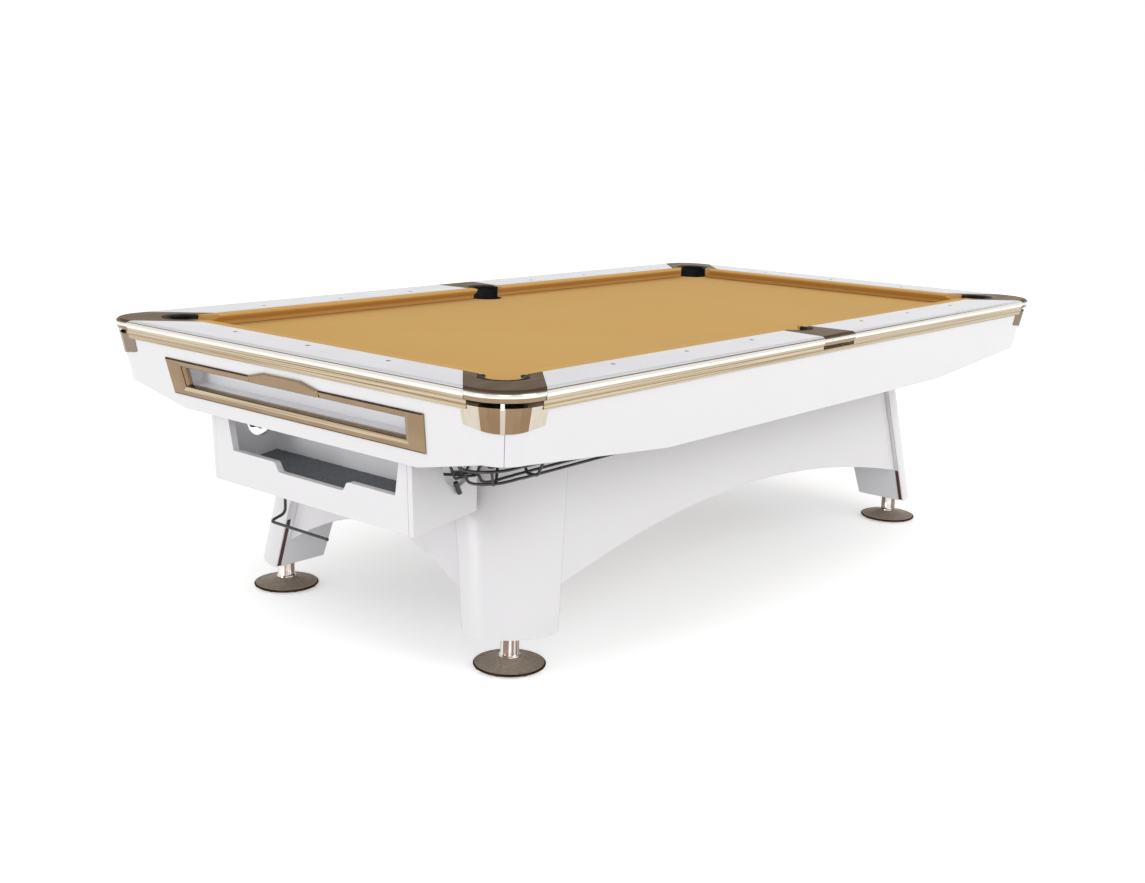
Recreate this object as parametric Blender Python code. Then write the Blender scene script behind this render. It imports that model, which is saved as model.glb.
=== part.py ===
"""Nine-foot pool table: slate bed, six-pocket rails, leaning aprons, ball return and splayed pedestal base.

Metres, +Z up. The origin is on the floor under the middle of the table, +X runs along its length and
the ball box is at the -X end. Rail and pocket profiles are given as a distance outward from the
cushion nose, so that they hold for the long rails, the end rails and the corners alike.
"""

import math

import bmesh
import bpy
from mathutils import Vector

for stale in list(bpy.data.objects):
    bpy.data.objects.remove(stale)

# Gap between pieces that touch
GAP = 0.0003

# Playing field between the cushion noses, and the heights of the bed
FIELD_LENGTH = 2.54
FIELD_WIDTH = 1.27
RAIL_TOP = 0.852
BED_DROP = 0.038
CLOTH_THICKNESS = 0.0015
CLOTH_INSET = 0.002
SLATE_THICKNESS = 0.030
SLATE_OVERHANG = 0.060

# Rail section, outward from the cushion nose
CUSHION_DEPTH = 0.040
CUSHION_NOSE_DROP = 0.003
CUSHION_NOSE_HEIGHT = 0.004
CUSHION_HEEL = 0.008
CUSHION_UNDERCUT = 0.016
CAP_WIDTH = 0.140
CAP_CHAMFER = 0.001

# Bullnose trim outside the rail caps, with two lips below it
TRIM_WIDTH = 0.015
BULLNOSE_HEIGHT = 0.029
LIP_WIDTH = 0.010
LIP_HEIGHT = 0.011
LOWER_LIP_WIDTH = 0.006
LOWER_LIP_HEIGHT = 0.013

# Corner and side castings, and the shields below the corner ones
CORNER_ROUND = 0.115
CORNER_STRAIGHT = 0.022
SIDE_CAP_LAND = 0.0175
SIDE_CAP_FLARE = 0.0125
SHIELD_GAP = 0.013
SHIELD_HEIGHT = 0.052
SHIELD_DIP = 0.011
SHIELD_THICKNESS = 0.003
SHIELD_RUN = 0.042
SHIELD_TUCK = 0.012

# Pockets
POCKET_OFFSET = 0.021
POCKET_RADIUS = 0.060
LINER_WALL = 0.004
LINER_RIM_DROP = 0.002
LINER_LENGTH = 0.180
CORNER_MOUTH = 0.1253
CORNER_FACING_SLOPE = 1.28
SIDE_MOUTH = 0.127
SIDE_FACING_SLOPE = 0.25

# Aprons, whose lower edge rises from its full depth towards each corner
APRON_THICKNESS = 0.022
APRON_DEPTH = 0.184
APRON_CORNER_DEPTH = 0.135
APRON_LEAN = 0.038
APRON_LONG_RISE = 0.488
APRON_END_RISE = 0.148

# Accessory tray in the ball-box end apron
TRAY_WIDTH = 0.948
TRAY_HEIGHT = 0.054
TRAY_DROP = 0.110
TRAY_WALL = 0.008
TRAY_CLEARANCE = 0.019
TRAY_FRAME_OPENING = 0.918
TRAY_FRAME_SHIFT = -0.0065
TRAY_FRAME_SPLAY = 0.0065
TRAY_FRAME_SIDE = 0.070
TRAY_FRAME_ABOVE = 0.021
TRAY_FRAME_BELOW = 0.030
TRAY_FRAME_PROUD = 0.006
PLAQUE_BASE_WIDTH = 0.290
PLAQUE_TOP_WIDTH = 0.155
PLAQUE_RISE = 0.016

# Slate frame
FRAME_HEIGHT = 0.060
FRAME_POCKET_CLEARANCE = 0.006
FRAME_BEAM = 0.115
FRAME_BAYS = 9
FRAME_CROSS_WIDTH = 0.080

# Pedestal base: each leg is a quarter-round post that leans and narrows towards the floor
LEG_BOTTOM = 0.097
LEG_INSET_X = 0.288
LEG_INSET_Y = 0.235
LEG_SPLAY_X = 0.123
LEG_SPLAY_Y = 0.130
LEG_RADIUS_LOW = 0.185
LEG_RADIUS_HIGH = 0.238
SIDE_PANEL_RECESS = 0.016
PANEL_THICKNESS = 0.020
END_PANEL_RECESS = 0.030
SIDE_ARCH_TOP = 0.335
SIDE_ARCH_END = 0.215
END_ARCH_TOP = 0.315
END_ARCH_END = 0.180

# Levelling feet
FOOT_INSET = 0.083
PAD_RADIUS = 0.100
PAD_RIM = 0.008
PAD_HUB_RADIUS = 0.034
PAD_HEIGHT = 0.030
STEM_RADIUS = 0.026
STEM_FLARE = 0.004
STEM_FLARE_HEIGHT = 0.008
STEM_SHANK_RADIUS = 0.015
STEM_SHANK_LENGTH = 0.060
STEM_PIN_RADIUS = 0.012
STEM_PIN_LENGTH = 0.014
STEM_CLEARANCE = 0.0006

# Ball box under the apron
BOX_FRONT = 0.092
BOX_LEAN = 0.010
BOX_LEG_CLEARANCE = 0.006
BOX_TRAY_CLEARANCE = 0.025
BOX_SHOULDER = 0.036
BOX_WIDTH = 0.840
BOX_WALL = 0.018
BOX_DROP = 0.203
BOX_FLOOR_RISE = 0.027
BOX_FLOOR_THICKNESS = 0.026
WINDOW_SIDE = 0.080
WINDOW_SHIFT = -0.015
WINDOW_SPREAD = 0.023
WINDOW_SILL = 0.099
WINDOW_DIP = 0.027
WINDOW_DIP_WIDTH = 0.266
WINDOW_DIP_SLOPE = 0.022

# Ball track of bent wire along each long side
WIRE_RADIUS = 0.003
TIE_RADIUS = 0.0036
TRACK_RAIL_GAP = 0.035
TRACK_GUARD_GAP = 0.072
TRACK_GUARD_RISE = 0.035
TRACK_FALL = 0.012
TRACK_LINER_CLEARANCE = 0.010
TRACK_BEND_START = 0.040
TRACK_BEND_RADIUS = 0.062
TRACK_BEND_TURN = 120
TRACK_FAR_RADIUS = 0.120
TRACK_FAR_TURN = 90
TRACK_APPROACH = 0.045
TRACK_REACH = 0.020
TRACK_SEAT = 0.022
TRACK_HOLE_CLEARANCE = 0.007
TRACK_HOLE_BACK = 0.073
TRACK_HOLE_HEIGHT = 0.158
TRACK_SPANS = 6
TRACK_TIE_INSET = 0.100
TRACK_HANGER_INSET = 0.010

# Rack hanger rod under the ball box
HANGER_RADIUS = 0.0036
HANGER_DROP = 0.113
HANGER_OUT = 0.055
HANGER_ARM = 0.255
HANGER_BACK = 0.112
HANGER_Y = 0.243
HANGER_BEND = 0.014
HANGER_FLANGE_RADIUS = 0.014
HANGER_FLANGE_THICKNESS = 0.009

# Smoothness of round parts
ARC_STEPS = 8
LEG_ARC_STEPS = 12
POCKET_SIDES = 24
FOOT_SIDES = 24
WIRE_SIDES = 6
TIE_SIDES = 4
BEND_STEPS = 2

# Places that follow from the sizes above
HALF_LENGTH = FIELD_LENGTH / 2
HALF_WIDTH = FIELD_WIDTH / 2
BED_TOP = RAIL_TOP - BED_DROP
SLATE_TOP = BED_TOP - CLOTH_THICKNESS - GAP
FRAME_TOP = SLATE_TOP - SLATE_THICKNESS - GAP
FRAME_BOTTOM = FRAME_TOP - FRAME_HEIGHT
BASE_TOP = FRAME_BOTTOM - GAP
CAP_OUTER = CUSHION_DEPTH + CAP_WIDTH
TRIM_OUTER = CAP_OUTER + TRIM_WIDTH
BULLNOSE_BOTTOM = RAIL_TOP - BULLNOSE_HEIGHT
LIP_BOTTOM = BULLNOSE_BOTTOM - LIP_HEIGHT
TRIM_BOTTOM = LIP_BOTTOM - LOWER_LIP_HEIGHT
CORNER_SEAM = CORNER_ROUND + CORNER_STRAIGHT
APRON_OUTER = CAP_OUTER
APRON_ROUND = CORNER_ROUND - TRIM_WIDTH
APRON_TOP = TRIM_BOTTOM - GAP
APRON_BOTTOM = APRON_TOP - APRON_DEPTH
TRAY_TOP = RAIL_TOP - TRAY_DROP
TRAY_BOTTOM = TRAY_TOP - TRAY_HEIGHT
LINER_INNER = POCKET_RADIUS - LINER_WALL
LINER_BOTTOM = RAIL_TOP - LINER_LENGTH
POCKET_CUT = POCKET_RADIUS + GAP
POCKET_X = HALF_LENGTH + POCKET_OFFSET
POCKET_Y = HALF_WIDTH + POCKET_OFFSET
FRAME_X = POCKET_X - POCKET_RADIUS - FRAME_POCKET_CLEARANCE
FRAME_Y = POCKET_Y - POCKET_RADIUS - FRAME_POCKET_CLEARANCE
LEG_X = HALF_LENGTH - LEG_INSET_X
LEG_Y = HALF_WIDTH - LEG_INSET_Y
FOOT_X = LEG_X + FOOT_INSET
FOOT_Y = LEG_Y + FOOT_INSET
BOX_BOTTOM = APRON_BOTTOM - BOX_DROP
BOX_REAR_BOTTOM = BOX_BOTTOM + BOX_FLOOR_RISE
BOX_LIP = TRAY_BOTTOM - TRAY_WALL - BOX_TRAY_CLEARANCE
CORNERS = ((-1, -1), (-1, 1), (1, -1), (1, 1))
CORNER_NAMES = {(-1, -1): "a", (-1, 1): "b", (1, -1): "c", (1, 1): "d"}


def material(name, colour, roughness, metallic=0.0):
    """A Principled material with one colour."""
    made = bpy.data.materials.new(name)
    made.use_nodes = True
    shader = made.node_tree.nodes["Principled BSDF"]
    shader.inputs["Base Color"].default_value = (*colour, 1.0)
    shader.inputs["Roughness"].default_value = roughness
    shader.inputs["Metallic"].default_value = metallic
    made.diffuse_color = (*colour, 1.0)
    return made


WHITE = material("white_lacquer", (0.80, 0.79, 0.80), 0.35)
RAIL_WHITE = material("rail_laminate", (0.72, 0.71, 0.74), 0.30)
CLOTH = material("camel_cloth", (0.57, 0.35, 0.12), 0.95)
CHROME = material("polished_chrome", (0.80, 0.78, 0.74), 0.10, 1.0)
CHAMPAGNE = material("champagne_chrome", (0.42, 0.28, 0.17), 0.15, 1.0)
PEWTER = material("taupe_pewter", (0.23, 0.19, 0.15), 0.30, 1.0)
BLACK = material("black_rubber", (0.010, 0.010, 0.012), 0.60)
WIRE = material("black_wire", (0.012, 0.012, 0.013), 0.40)
SLATE = material("slate", (0.16, 0.17, 0.18), 0.80)
TIMBER = material("frame_timber", (0.45, 0.30, 0.16), 0.70)


TABLE = bpy.data.objects.new("pool_table", None)
bpy.context.scene.collection.objects.link(TABLE)


def add(name, mesh, finish, smooth_angle=30):
    """A named piece of the table, shaded smooth up to an angle in degrees."""
    mesh.materials.append(finish)
    mesh.shade_smooth()
    mesh.set_sharp_from_angle(angle=math.radians(smooth_angle))
    made = bpy.data.objects.new(name, mesh)
    bpy.context.scene.collection.objects.link(made)
    made.parent = TABLE
    return made


def mesh_of(name, points, faces):
    """A closed mesh with its faces turned outward."""
    shape = bmesh.new()
    corners = [shape.verts.new(point) for point in points]
    for face in faces:
        shape.faces.new([corners[index] for index in face])
    bmesh.ops.recalc_face_normals(shape, faces=shape.faces)
    mesh = bpy.data.meshes.new(name)
    shape.to_mesh(mesh)
    shape.free()
    return mesh


def lofted(name, rings):
    """A solid through rings of equal length, capped at both ends."""
    count = len(rings[0])
    points = [point for ring in rings for point in ring]
    faces = [tuple(range(count)), tuple(range(len(points) - count, len(points)))]
    for level in range(len(rings) - 1):
        base = level * count
        for index in range(count):
            following = (index + 1) % count
            faces.append((base + index, base + following, base + count + following, base + count + index))
    return mesh_of(name, points, faces)


def prism(name, outline, low, high):
    """An upright prism over an outline of (x, y) points."""
    return lofted(name, [[(x, y, z) for x, y in outline] for z in (low, high)])


def block(name, low, high):
    """A box between two corners."""
    outline = [(low[0], low[1]), (high[0], low[1]), (high[0], high[1]), (low[0], high[1])]
    return prism(name, outline, low[2], high[2])


def circle(centre, radius, sides):
    """Points round a horizontal circle."""
    turns = [math.tau * index / sides for index in range(sides)]
    return [(centre[0] + radius * math.cos(turn), centre[1] + radius * math.sin(turn)) for turn in turns]


def turned(name, profile, sides):
    """A solid turned about Z from (radius, height) points, closed on itself if no radius is zero."""
    points = []
    rings = []
    for radius, height in profile:
        if radius == 0:
            rings.append([len(points)] * sides)
            points.append((0, 0, height))
        else:
            rings.append(list(range(len(points), len(points) + sides)))
            points += [(x, y, height) for x, y in circle((0, 0), radius, sides)]
    hollow = all(radius > 0 for radius, _ in profile)
    pairs = list(zip(rings, rings[1:] + rings[:1])) if hollow else list(zip(rings, rings[1:]))
    faces = []
    for first, second in pairs:
        for index in range(sides):
            following = (index + 1) % sides
            corners = (first[index], first[following], second[following], second[index])
            faces.append(tuple(dict.fromkeys(corners)))
    return mesh_of(name, points, faces)


def tube(route, radius, sides):
    """Points and faces of a capped tube along a route."""
    route = [Vector(point) for point in route]
    points = []
    side = None
    for index, here in enumerate(route):
        ahead = route[min(index + 1, len(route) - 1)] - route[max(index - 1, 0)]
        ahead.normalize()
        if side is None:
            side = ahead.orthogonal().normalized()
        side = (side - ahead * side.dot(ahead)).normalized()
        up = ahead.cross(side)
        for step in range(sides):
            turn = math.tau * step / sides
            points.append(here + radius * (side * math.cos(turn) + up * math.sin(turn)))
    faces = [tuple(range(sides)), tuple(range(len(points) - sides, len(points)))]
    for index in range(len(route) - 1):
        base = index * sides
        for step in range(sides):
            following = (step + 1) % sides
            faces.append((base + step, base + following, base + sides + following, base + sides + step))
    return points, faces


def tubes(name, routes, radius, sides):
    """One mesh of several separate tubes."""
    points = []
    faces = []
    for route in routes:
        more_points, more_faces = tube(route, radius, sides)
        faces += [tuple(index + len(points) for index in face) for face in more_faces]
        points += more_points
    return mesh_of(name, points, faces)


def helper(name, mesh):
    """A hidden object for a Boolean."""
    made = bpy.data.objects.new(name, mesh)
    bpy.context.scene.collection.objects.link(made)
    made.hide_render = True
    made.display_type = "WIRE"
    return made


def combine(target, other, operation):
    """A Boolean of a helper on a target."""
    modifier = target.modifiers.new(other.name, "BOOLEAN")
    modifier.operation = operation
    modifier.solver = "EXACT"
    modifier.object = other


def cut(target, *cutters):
    for cutter in cutters:
        combine(target, cutter, "DIFFERENCE")


def join(target, *others):
    for other in others:
        combine(target, other, "UNION")


def arc(centre, radius, start, end, steps):
    """Points along an arc, angles in degrees."""
    turns = [math.radians(start + (end - start) * index / steps) for index in range(steps + 1)]
    return [(centre[0] + radius * math.cos(turn), centre[1] + radius * math.sin(turn)) for turn in turns]


# Pockets: a cutter for each and its black liner
POCKET_CENTRES = {CORNER_NAMES[corner]: (corner[0] * POCKET_X, corner[1] * POCKET_Y) for corner in CORNERS}
POCKET_CENTRES["side_near"] = (0.0, -POCKET_Y)
POCKET_CENTRES["side_far"] = (0.0, POCKET_Y)


def pocket_cutter(name):
    """A cutter through the rails, bed and frame."""
    outline = circle(POCKET_CENTRES[name], POCKET_CUT, POCKET_SIDES)
    shaft = prism(name, outline, FRAME_BOTTOM - FRAME_HEIGHT, RAIL_TOP + BED_DROP)
    return helper(f"cut_pocket_{name}", shaft)


POCKET_CUTTERS = {name: pocket_cutter(name) for name in POCKET_CENTRES}


def pocket_liner(name):
    """A drop tube whose wall stands up to the rail top behind the pocket and is open to the bed in front."""
    x, y = POCKET_CENTRES[name]
    top = RAIL_TOP - LINER_RIM_DROP
    profile = [
        (POCKET_RADIUS, top),
        (POCKET_RADIUS, LINER_BOTTOM),
        (LINER_INNER, LINER_BOTTOM),
        (LINER_INNER, top),
    ]
    liner = add(f"pocket_liner_{name}", turned(name, profile, POCKET_SIDES), BLACK)
    liner.location = (x, y, 0)
    inward = Vector((-math.copysign(1, x) if x else 0, -math.copysign(1, y), 0)).normalized()
    reach = 2 * POCKET_RADIUS
    low = (-reach, 0, BED_TOP - CLOTH_THICKNESS)
    mouth = helper(f"cut_mouth_{name}", block(name, low, (reach, reach, RAIL_TOP + BED_DROP)))
    mouth.rotation_euler = (0, 0, math.atan2(inward.y, inward.x) - math.pi / 2)
    mouth.location = liner.location + inward * LINER_WALL
    cut(liner, mouth)


def bed():
    """Slate and the cloth stretched over it, both cut away at the pockets."""
    for name, overhang, low, high, finish in (
        ("slate_bed", SLATE_OVERHANG, SLATE_TOP - SLATE_THICKNESS, SLATE_TOP, SLATE),
        ("bed_cloth", SLATE_OVERHANG - CLOTH_INSET, SLATE_TOP + GAP, BED_TOP, CLOTH),
    ):
        reach = (HALF_LENGTH + overhang, HALF_WIDTH + overhang)
        sheet = add(name, block(name, (-reach[0], -reach[1], low), (reach[0], reach[1], high)), finish)
        cut(sheet, *POCKET_CUTTERS.values())


def slate_frame():
    """Timber ladder frame, inside the pockets, that carries the slate on the base."""
    block_low = (-FRAME_X, -FRAME_Y, FRAME_BOTTOM)
    frame = add("slate_frame", block("frame", block_low, (FRAME_X, FRAME_Y, FRAME_TOP)), TIMBER)
    inside = (FRAME_X - FRAME_BEAM, FRAME_Y - FRAME_BEAM)
    bay = (2 * inside[0] + FRAME_CROSS_WIDTH) / FRAME_BAYS
    for index in range(FRAME_BAYS):
        low_x = -inside[0] + index * bay
        low = (low_x, -inside[1], FRAME_BOTTOM - FRAME_HEIGHT)
        high = (low_x + bay - FRAME_CROSS_WIDTH, inside[1], FRAME_TOP + FRAME_HEIGHT)
        cut(frame, helper(f"cut_bay_{index}", block("bay", low, high)))


# Rails: a profile of (outward distance, height) run along one side between two end rules
def rail_piece(name, profile, finish, axis, side, ends):
    """A straight rail piece. Each end gives the coordinate along the rail for an outward distance."""
    rings = []
    for end in ends:
        ring = []
        for outward, height in profile:
            along = end(outward)
            across = side * ((HALF_WIDTH if axis == "x" else HALF_LENGTH) + outward)
            ring.append((along, across, height) if axis == "x" else (across, along, height))
        rings.append(ring)
    return add(name, lofted(name, rings), finish)


def corner_end(half, sign):
    """End rule along a corner casting's 45 degree seam."""
    return lambda outward: sign * (half + outward - CORNER_SEAM - GAP)


def side_width(outward):
    """Half width of a side casting at an outward distance."""
    share = (outward - CUSHION_DEPTH) / (TRIM_OUTER - CUSHION_DEPTH)
    return POCKET_RADIUS + SIDE_CAP_LAND + SIDE_CAP_FLARE * share


def side_end(sign):
    """End rule along a side casting's flared seam."""
    return lambda outward: sign * (side_width(outward) + GAP)


def corner_facing(half, sign):
    """End rule of a cushion at a corner pocket mouth."""
    nose = CORNER_MOUTH / math.sqrt(2)
    return lambda outward: sign * (half - nose + CORNER_FACING_SLOPE * outward)


def side_facing(sign):
    """End rule of a cushion at a side pocket mouth."""
    return lambda outward: sign * (SIDE_MOUTH / 2 - SIDE_FACING_SLOPE * outward)


def rail_sides():
    """Name, axis, side, cap ends, cushion ends and pockets of each of the six rails."""
    for sign, name in ((-1, "head"), (1, "foot")):
        seams = (corner_end(HALF_WIDTH, -1), corner_end(HALF_WIDTH, 1))
        facings = (corner_facing(HALF_WIDTH, -1), corner_facing(HALF_WIDTH, 1))
        yield name, "y", sign, seams, facings, (CORNER_NAMES[(sign, -1)], CORNER_NAMES[(sign, 1)])
    for side, side_name in ((-1, "near"), (1, "far")):
        for sign, end_name in ((-1, "head"), (1, "foot")):
            seams = (side_end(sign), corner_end(HALF_LENGTH, sign))
            facings = (side_facing(sign), corner_facing(HALF_LENGTH, sign))
            pockets = (CORNER_NAMES[(sign, side)], f"side_{side_name}")
            yield f"{side_name}_{end_name}", "x", side, seams, facings, pockets


def rails():
    """White capped rails on the bed and their cloth-covered cushions."""
    low = BED_TOP + GAP
    cap = [
        (CUSHION_DEPTH, low),
        (CAP_OUTER, low),
        (CAP_OUTER, RAIL_TOP - CAP_CHAMFER),
        (CAP_OUTER - CAP_CHAMFER, RAIL_TOP),
        (CUSHION_DEPTH + CAP_CHAMFER, RAIL_TOP),
        (CUSHION_DEPTH, RAIL_TOP - CAP_CHAMFER),
    ]
    heel = CUSHION_DEPTH - GAP
    nose = RAIL_TOP - CUSHION_NOSE_DROP
    under = BED_TOP + CUSHION_HEEL
    cushion = [
        (heel, RAIL_TOP - CAP_CHAMFER),
        (heel, under),
        (CUSHION_DEPTH - CUSHION_UNDERCUT, under + CUSHION_HEEL),
        (CUSHION_NOSE_HEIGHT / 2, nose - CUSHION_NOSE_HEIGHT),
        (0, nose - CUSHION_NOSE_HEIGHT / 2),
        (CUSHION_NOSE_HEIGHT / 4, nose),
        (CUSHION_UNDERCUT, RAIL_TOP - CAP_CHAMFER),
    ]
    for name, axis, side, seams, facings, pockets in rail_sides():
        rail_piece(f"rail_cap_{name}", cap, RAIL_WHITE, axis, side, seams)
        rubber = rail_piece(f"cushion_{name}", cushion, CLOTH, axis, side, facings)
        cut(rubber, *(POCKET_CUTTERS[pocket] for pocket in pockets))


def bullnose():
    """(height, outward reach) down the half-elliptical metal edge, without its two tips."""
    middle = RAIL_TOP - BULLNOSE_HEIGHT / 2
    points = []
    for step in range(1, ARC_STEPS):
        turn = math.pi * step / ARC_STEPS
        reach = CAP_OUTER + GAP + TRIM_WIDTH * math.sin(turn)
        points.append((middle + BULLNOSE_HEIGHT / 2 * math.cos(turn), reach - GAP * math.sin(turn)))
    return points


def rail_trims():
    """Bullnose trim with a stepped lower lip along each side, the long ones notched at the side castings."""
    inner = CAP_OUTER + GAP
    lip = CAP_OUTER + LIP_WIDTH
    lower_lip = CAP_OUTER + LOWER_LIP_WIDTH
    profile = [(inner, TRIM_BOTTOM), (inner, RAIL_TOP)]
    profile += [(reach, height) for height, reach in bullnose()]
    profile += [(lip, BULLNOSE_BOTTOM), (lip, LIP_BOTTOM), (lower_lip, LIP_BOTTOM), (lower_lip, TRIM_BOTTOM)]
    for sign, name in ((-1, "head"), (1, "foot")):
        ends = (corner_end(HALF_WIDTH, -1), corner_end(HALF_WIDTH, 1))
        rail_piece(f"rail_trim_{name}", profile, CHROME, "y", sign, ends)
    for side, name in ((-1, "near"), (1, "far")):
        ends = (corner_end(HALF_LENGTH, -1), corner_end(HALF_LENGTH, 1))
        trim = rail_piece(f"rail_trim_{name}", profile, CHROME, "x", side, ends)
        past = TRIM_OUTER + TRIM_WIDTH
        notch = [(side_end(sign)(outward), side * (HALF_WIDTH + outward))
                 for sign, outward in ((-1, CAP_OUTER), (1, CAP_OUTER), (1, past), (-1, past))]
        cut(trim, helper(f"cut_notch_{name}", prism("notch", notch, LIP_BOTTOM, RAIL_TOP + BED_DROP)))


def casting_levels():
    """(height, outward reach) down a casting's edge, from the flush top to the flat underside."""
    inner = CAP_OUTER + GAP
    return [(RAIL_TOP, inner)] + bullnose() + [(BULLNOSE_BOTTOM, inner)]


def corner_outline(reach):
    """Corner casting outline in (along X, along Y) distances outward from the field corner."""
    inner = CUSHION_DEPTH + GAP
    round_radius = CORNER_ROUND - (TRIM_OUTER - reach)
    centre = (reach - round_radius, reach - round_radius)
    outline = [(inner - CORNER_SEAM, inner), (inner, inner), (inner, inner - CORNER_SEAM)]
    outline.append((reach, reach - CORNER_SEAM))
    return outline + arc(centre, round_radius, 0, 90, ARC_STEPS) + [(reach - CORNER_SEAM, reach)]


def corner_caps():
    """Metal corner castings flush with the rail tops, round the corner pockets."""
    for corner in CORNERS:
        rings = []
        for height, reach in casting_levels():
            rings.append([
                (corner[0] * (HALF_LENGTH + x), corner[1] * (HALF_WIDTH + y), height)
                for x, y in corner_outline(reach)
            ])
        name = CORNER_NAMES[corner]
        cap = add(f"corner_cap_{name}", lofted(name, rings), PEWTER)
        cut(cap, POCKET_CUTTERS[name])


def side_caps():
    """Metal castings behind the side pockets."""
    inner = CUSHION_DEPTH + GAP
    for side, name in ((-1, "near"), (1, "far")):
        rings = []
        for height, reach in casting_levels():
            corners = ((-1, inner), (1, inner), (1, reach), (-1, reach))
            rings.append([(sign * (side_width(out) - GAP), side * (HALF_WIDTH + out), height)
                          for sign, out in corners])
        cap = add(f"side_cap_{name}", lofted(name, rings), PEWTER)
        cut(cap, POCKET_CUTTERS[f"side_{name}"])


# Aprons
def apron_reach(height):
    """Outward reach of the leaning apron face at a height."""
    return APRON_OUTER - APRON_LEAN * (APRON_TOP - height) / APRON_DEPTH


def apron_point(corner, angle, height, inset):
    """A point on the apron's rounded corner, inset from its face."""
    radius = APRON_ROUND - (APRON_OUTER - apron_reach(height)) - inset
    centre = APRON_OUTER - APRON_ROUND
    turn = math.radians(angle)
    along = HALF_LENGTH + centre + radius * math.cos(turn)
    across = HALF_WIDTH + centre + radius * math.sin(turn)
    return Vector((corner[0] * along, corner[1] * across, height))


def apron(name, axis, side):
    """One leaning apron, mitred in the middle of its two rounded corners and stepped up towards them."""
    corner_bottom = APRON_TOP - APRON_CORNER_DEPTH
    first, last = ((-1, side), (1, side)) if axis == "x" else ((side, -1), (side, 1))
    straight = 90 if axis == "x" else 0
    mitre = math.degrees(GAP / APRON_ROUND)
    start = 45 + mitre if axis == "x" else 45 - mitre
    steps = ARC_STEPS // 2
    turns = [start + (straight - start) * index / steps for index in range(steps + 1)]
    flat = HALF_LENGTH - APRON_LONG_RISE if axis == "x" else HALF_WIDTH - APRON_END_RISE
    stations = [(first, turn, None, corner_bottom) for turn in turns]
    stations += [(first, straight, -flat, APRON_BOTTOM), (last, straight, flat, APRON_BOTTOM)]
    stations += [(last, turn, None, corner_bottom) for turn in reversed(turns)]
    rings = []
    for corner, angle, along, bottom in stations:
        ring = [
            apron_point(corner, angle, APRON_TOP, 0),
            apron_point(corner, angle, bottom, 0),
            apron_point(corner, angle, bottom, APRON_THICKNESS),
            apron_point(corner, angle, APRON_TOP, APRON_THICKNESS),
        ]
        if along is not None:
            for point in ring:
                point["xy".index(axis)] = along
        rings.append(ring)
    return add(name, lofted(name, rings), WHITE)


def across_prism(name, outline, half):
    """A solid between -half and half in Y over an outline of (x, z) points."""
    return lofted(name, [[(x, y, z) for x, z in outline] for y in (-half, half)])


def aprons():
    """Four aprons; the one over the ball box holds the accessory tray."""
    apron("apron_near", "x", -1)
    apron("apron_far", "x", 1)
    apron("apron_foot", "y", 1)
    head = apron("apron_head", "y", -1)
    wall = TRAY_WALL
    back = -(HALF_LENGTH + SLATE_OVERHANG + TRAY_CLEARANCE)
    shell = [(back, TRAY_BOTTOM - wall), (back, TRAY_TOP + wall)]
    for height in (TRAY_TOP + wall, TRAY_BOTTOM - wall):
        shell.append((-(HALF_LENGTH + apron_reach(height) - APRON_THICKNESS / 2), height))
    past = -(HALF_LENGTH + APRON_OUTER + TRIM_WIDTH)
    hollow = [(back - wall, TRAY_BOTTOM), (back - wall, TRAY_TOP), (past, TRAY_TOP), (past, TRAY_BOTTOM)]
    join(head, helper("join_tray", across_prism("tray", shell, TRAY_WIDTH / 2 + wall)))
    cut(head, helper("cut_tray", across_prism("hollow", hollow, TRAY_WIDTH / 2)))


def splayed(points):
    """Points of the tray frame moved sideways: its ends lean apart upwards."""
    top = TRAY_TOP + TRAY_FRAME_ABOVE
    bottom = TRAY_BOTTOM - TRAY_FRAME_BELOW
    moved = []
    for y, z in points:
        lean = TRAY_FRAME_SPLAY * (2 * (z - bottom) / (top - bottom) - 1)
        moved.append((y + (lean if y > 0 else -lean) + TRAY_FRAME_SHIFT, z))
    return moved


def tray_frame():
    """Polished frame round the tray opening, on the leaning apron, with a raised plaque on its top edge."""
    top = TRAY_TOP + TRAY_FRAME_ABOVE
    bottom = TRAY_BOTTOM - TRAY_FRAME_BELOW
    inner = TRAY_FRAME_OPENING / 2
    half = inner + TRAY_FRAME_SIDE
    outline = [(-half, bottom), (half, bottom), (half, top), (PLAQUE_BASE_WIDTH / 2, top)]
    outline += [(PLAQUE_TOP_WIDTH / 2, top + PLAQUE_RISE), (-PLAQUE_TOP_WIDTH / 2, top + PLAQUE_RISE)]
    outline += [(-PLAQUE_BASE_WIDTH / 2, top), (-half, top)]
    rings = [
        [(-(HALF_LENGTH + apron_reach(z) + proud), y, z) for y, z in splayed(outline)]
        for proud in (GAP, TRAY_FRAME_PROUD)
    ]
    frame = add("tray_frame", lofted("frame", rings), CHAMPAGNE)
    past = -(HALF_LENGTH + APRON_OUTER + TRIM_WIDTH)
    opening = splayed([(-inner, TRAY_BOTTOM), (inner, TRAY_BOTTOM), (inner, TRAY_TOP), (-inner, TRAY_TOP)])
    rings = [[(x, y, z) for y, z in opening] for x in (-HALF_LENGTH, past)]
    cut(frame, helper("cut_tray_frame", lofted("opening", rings)))


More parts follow.
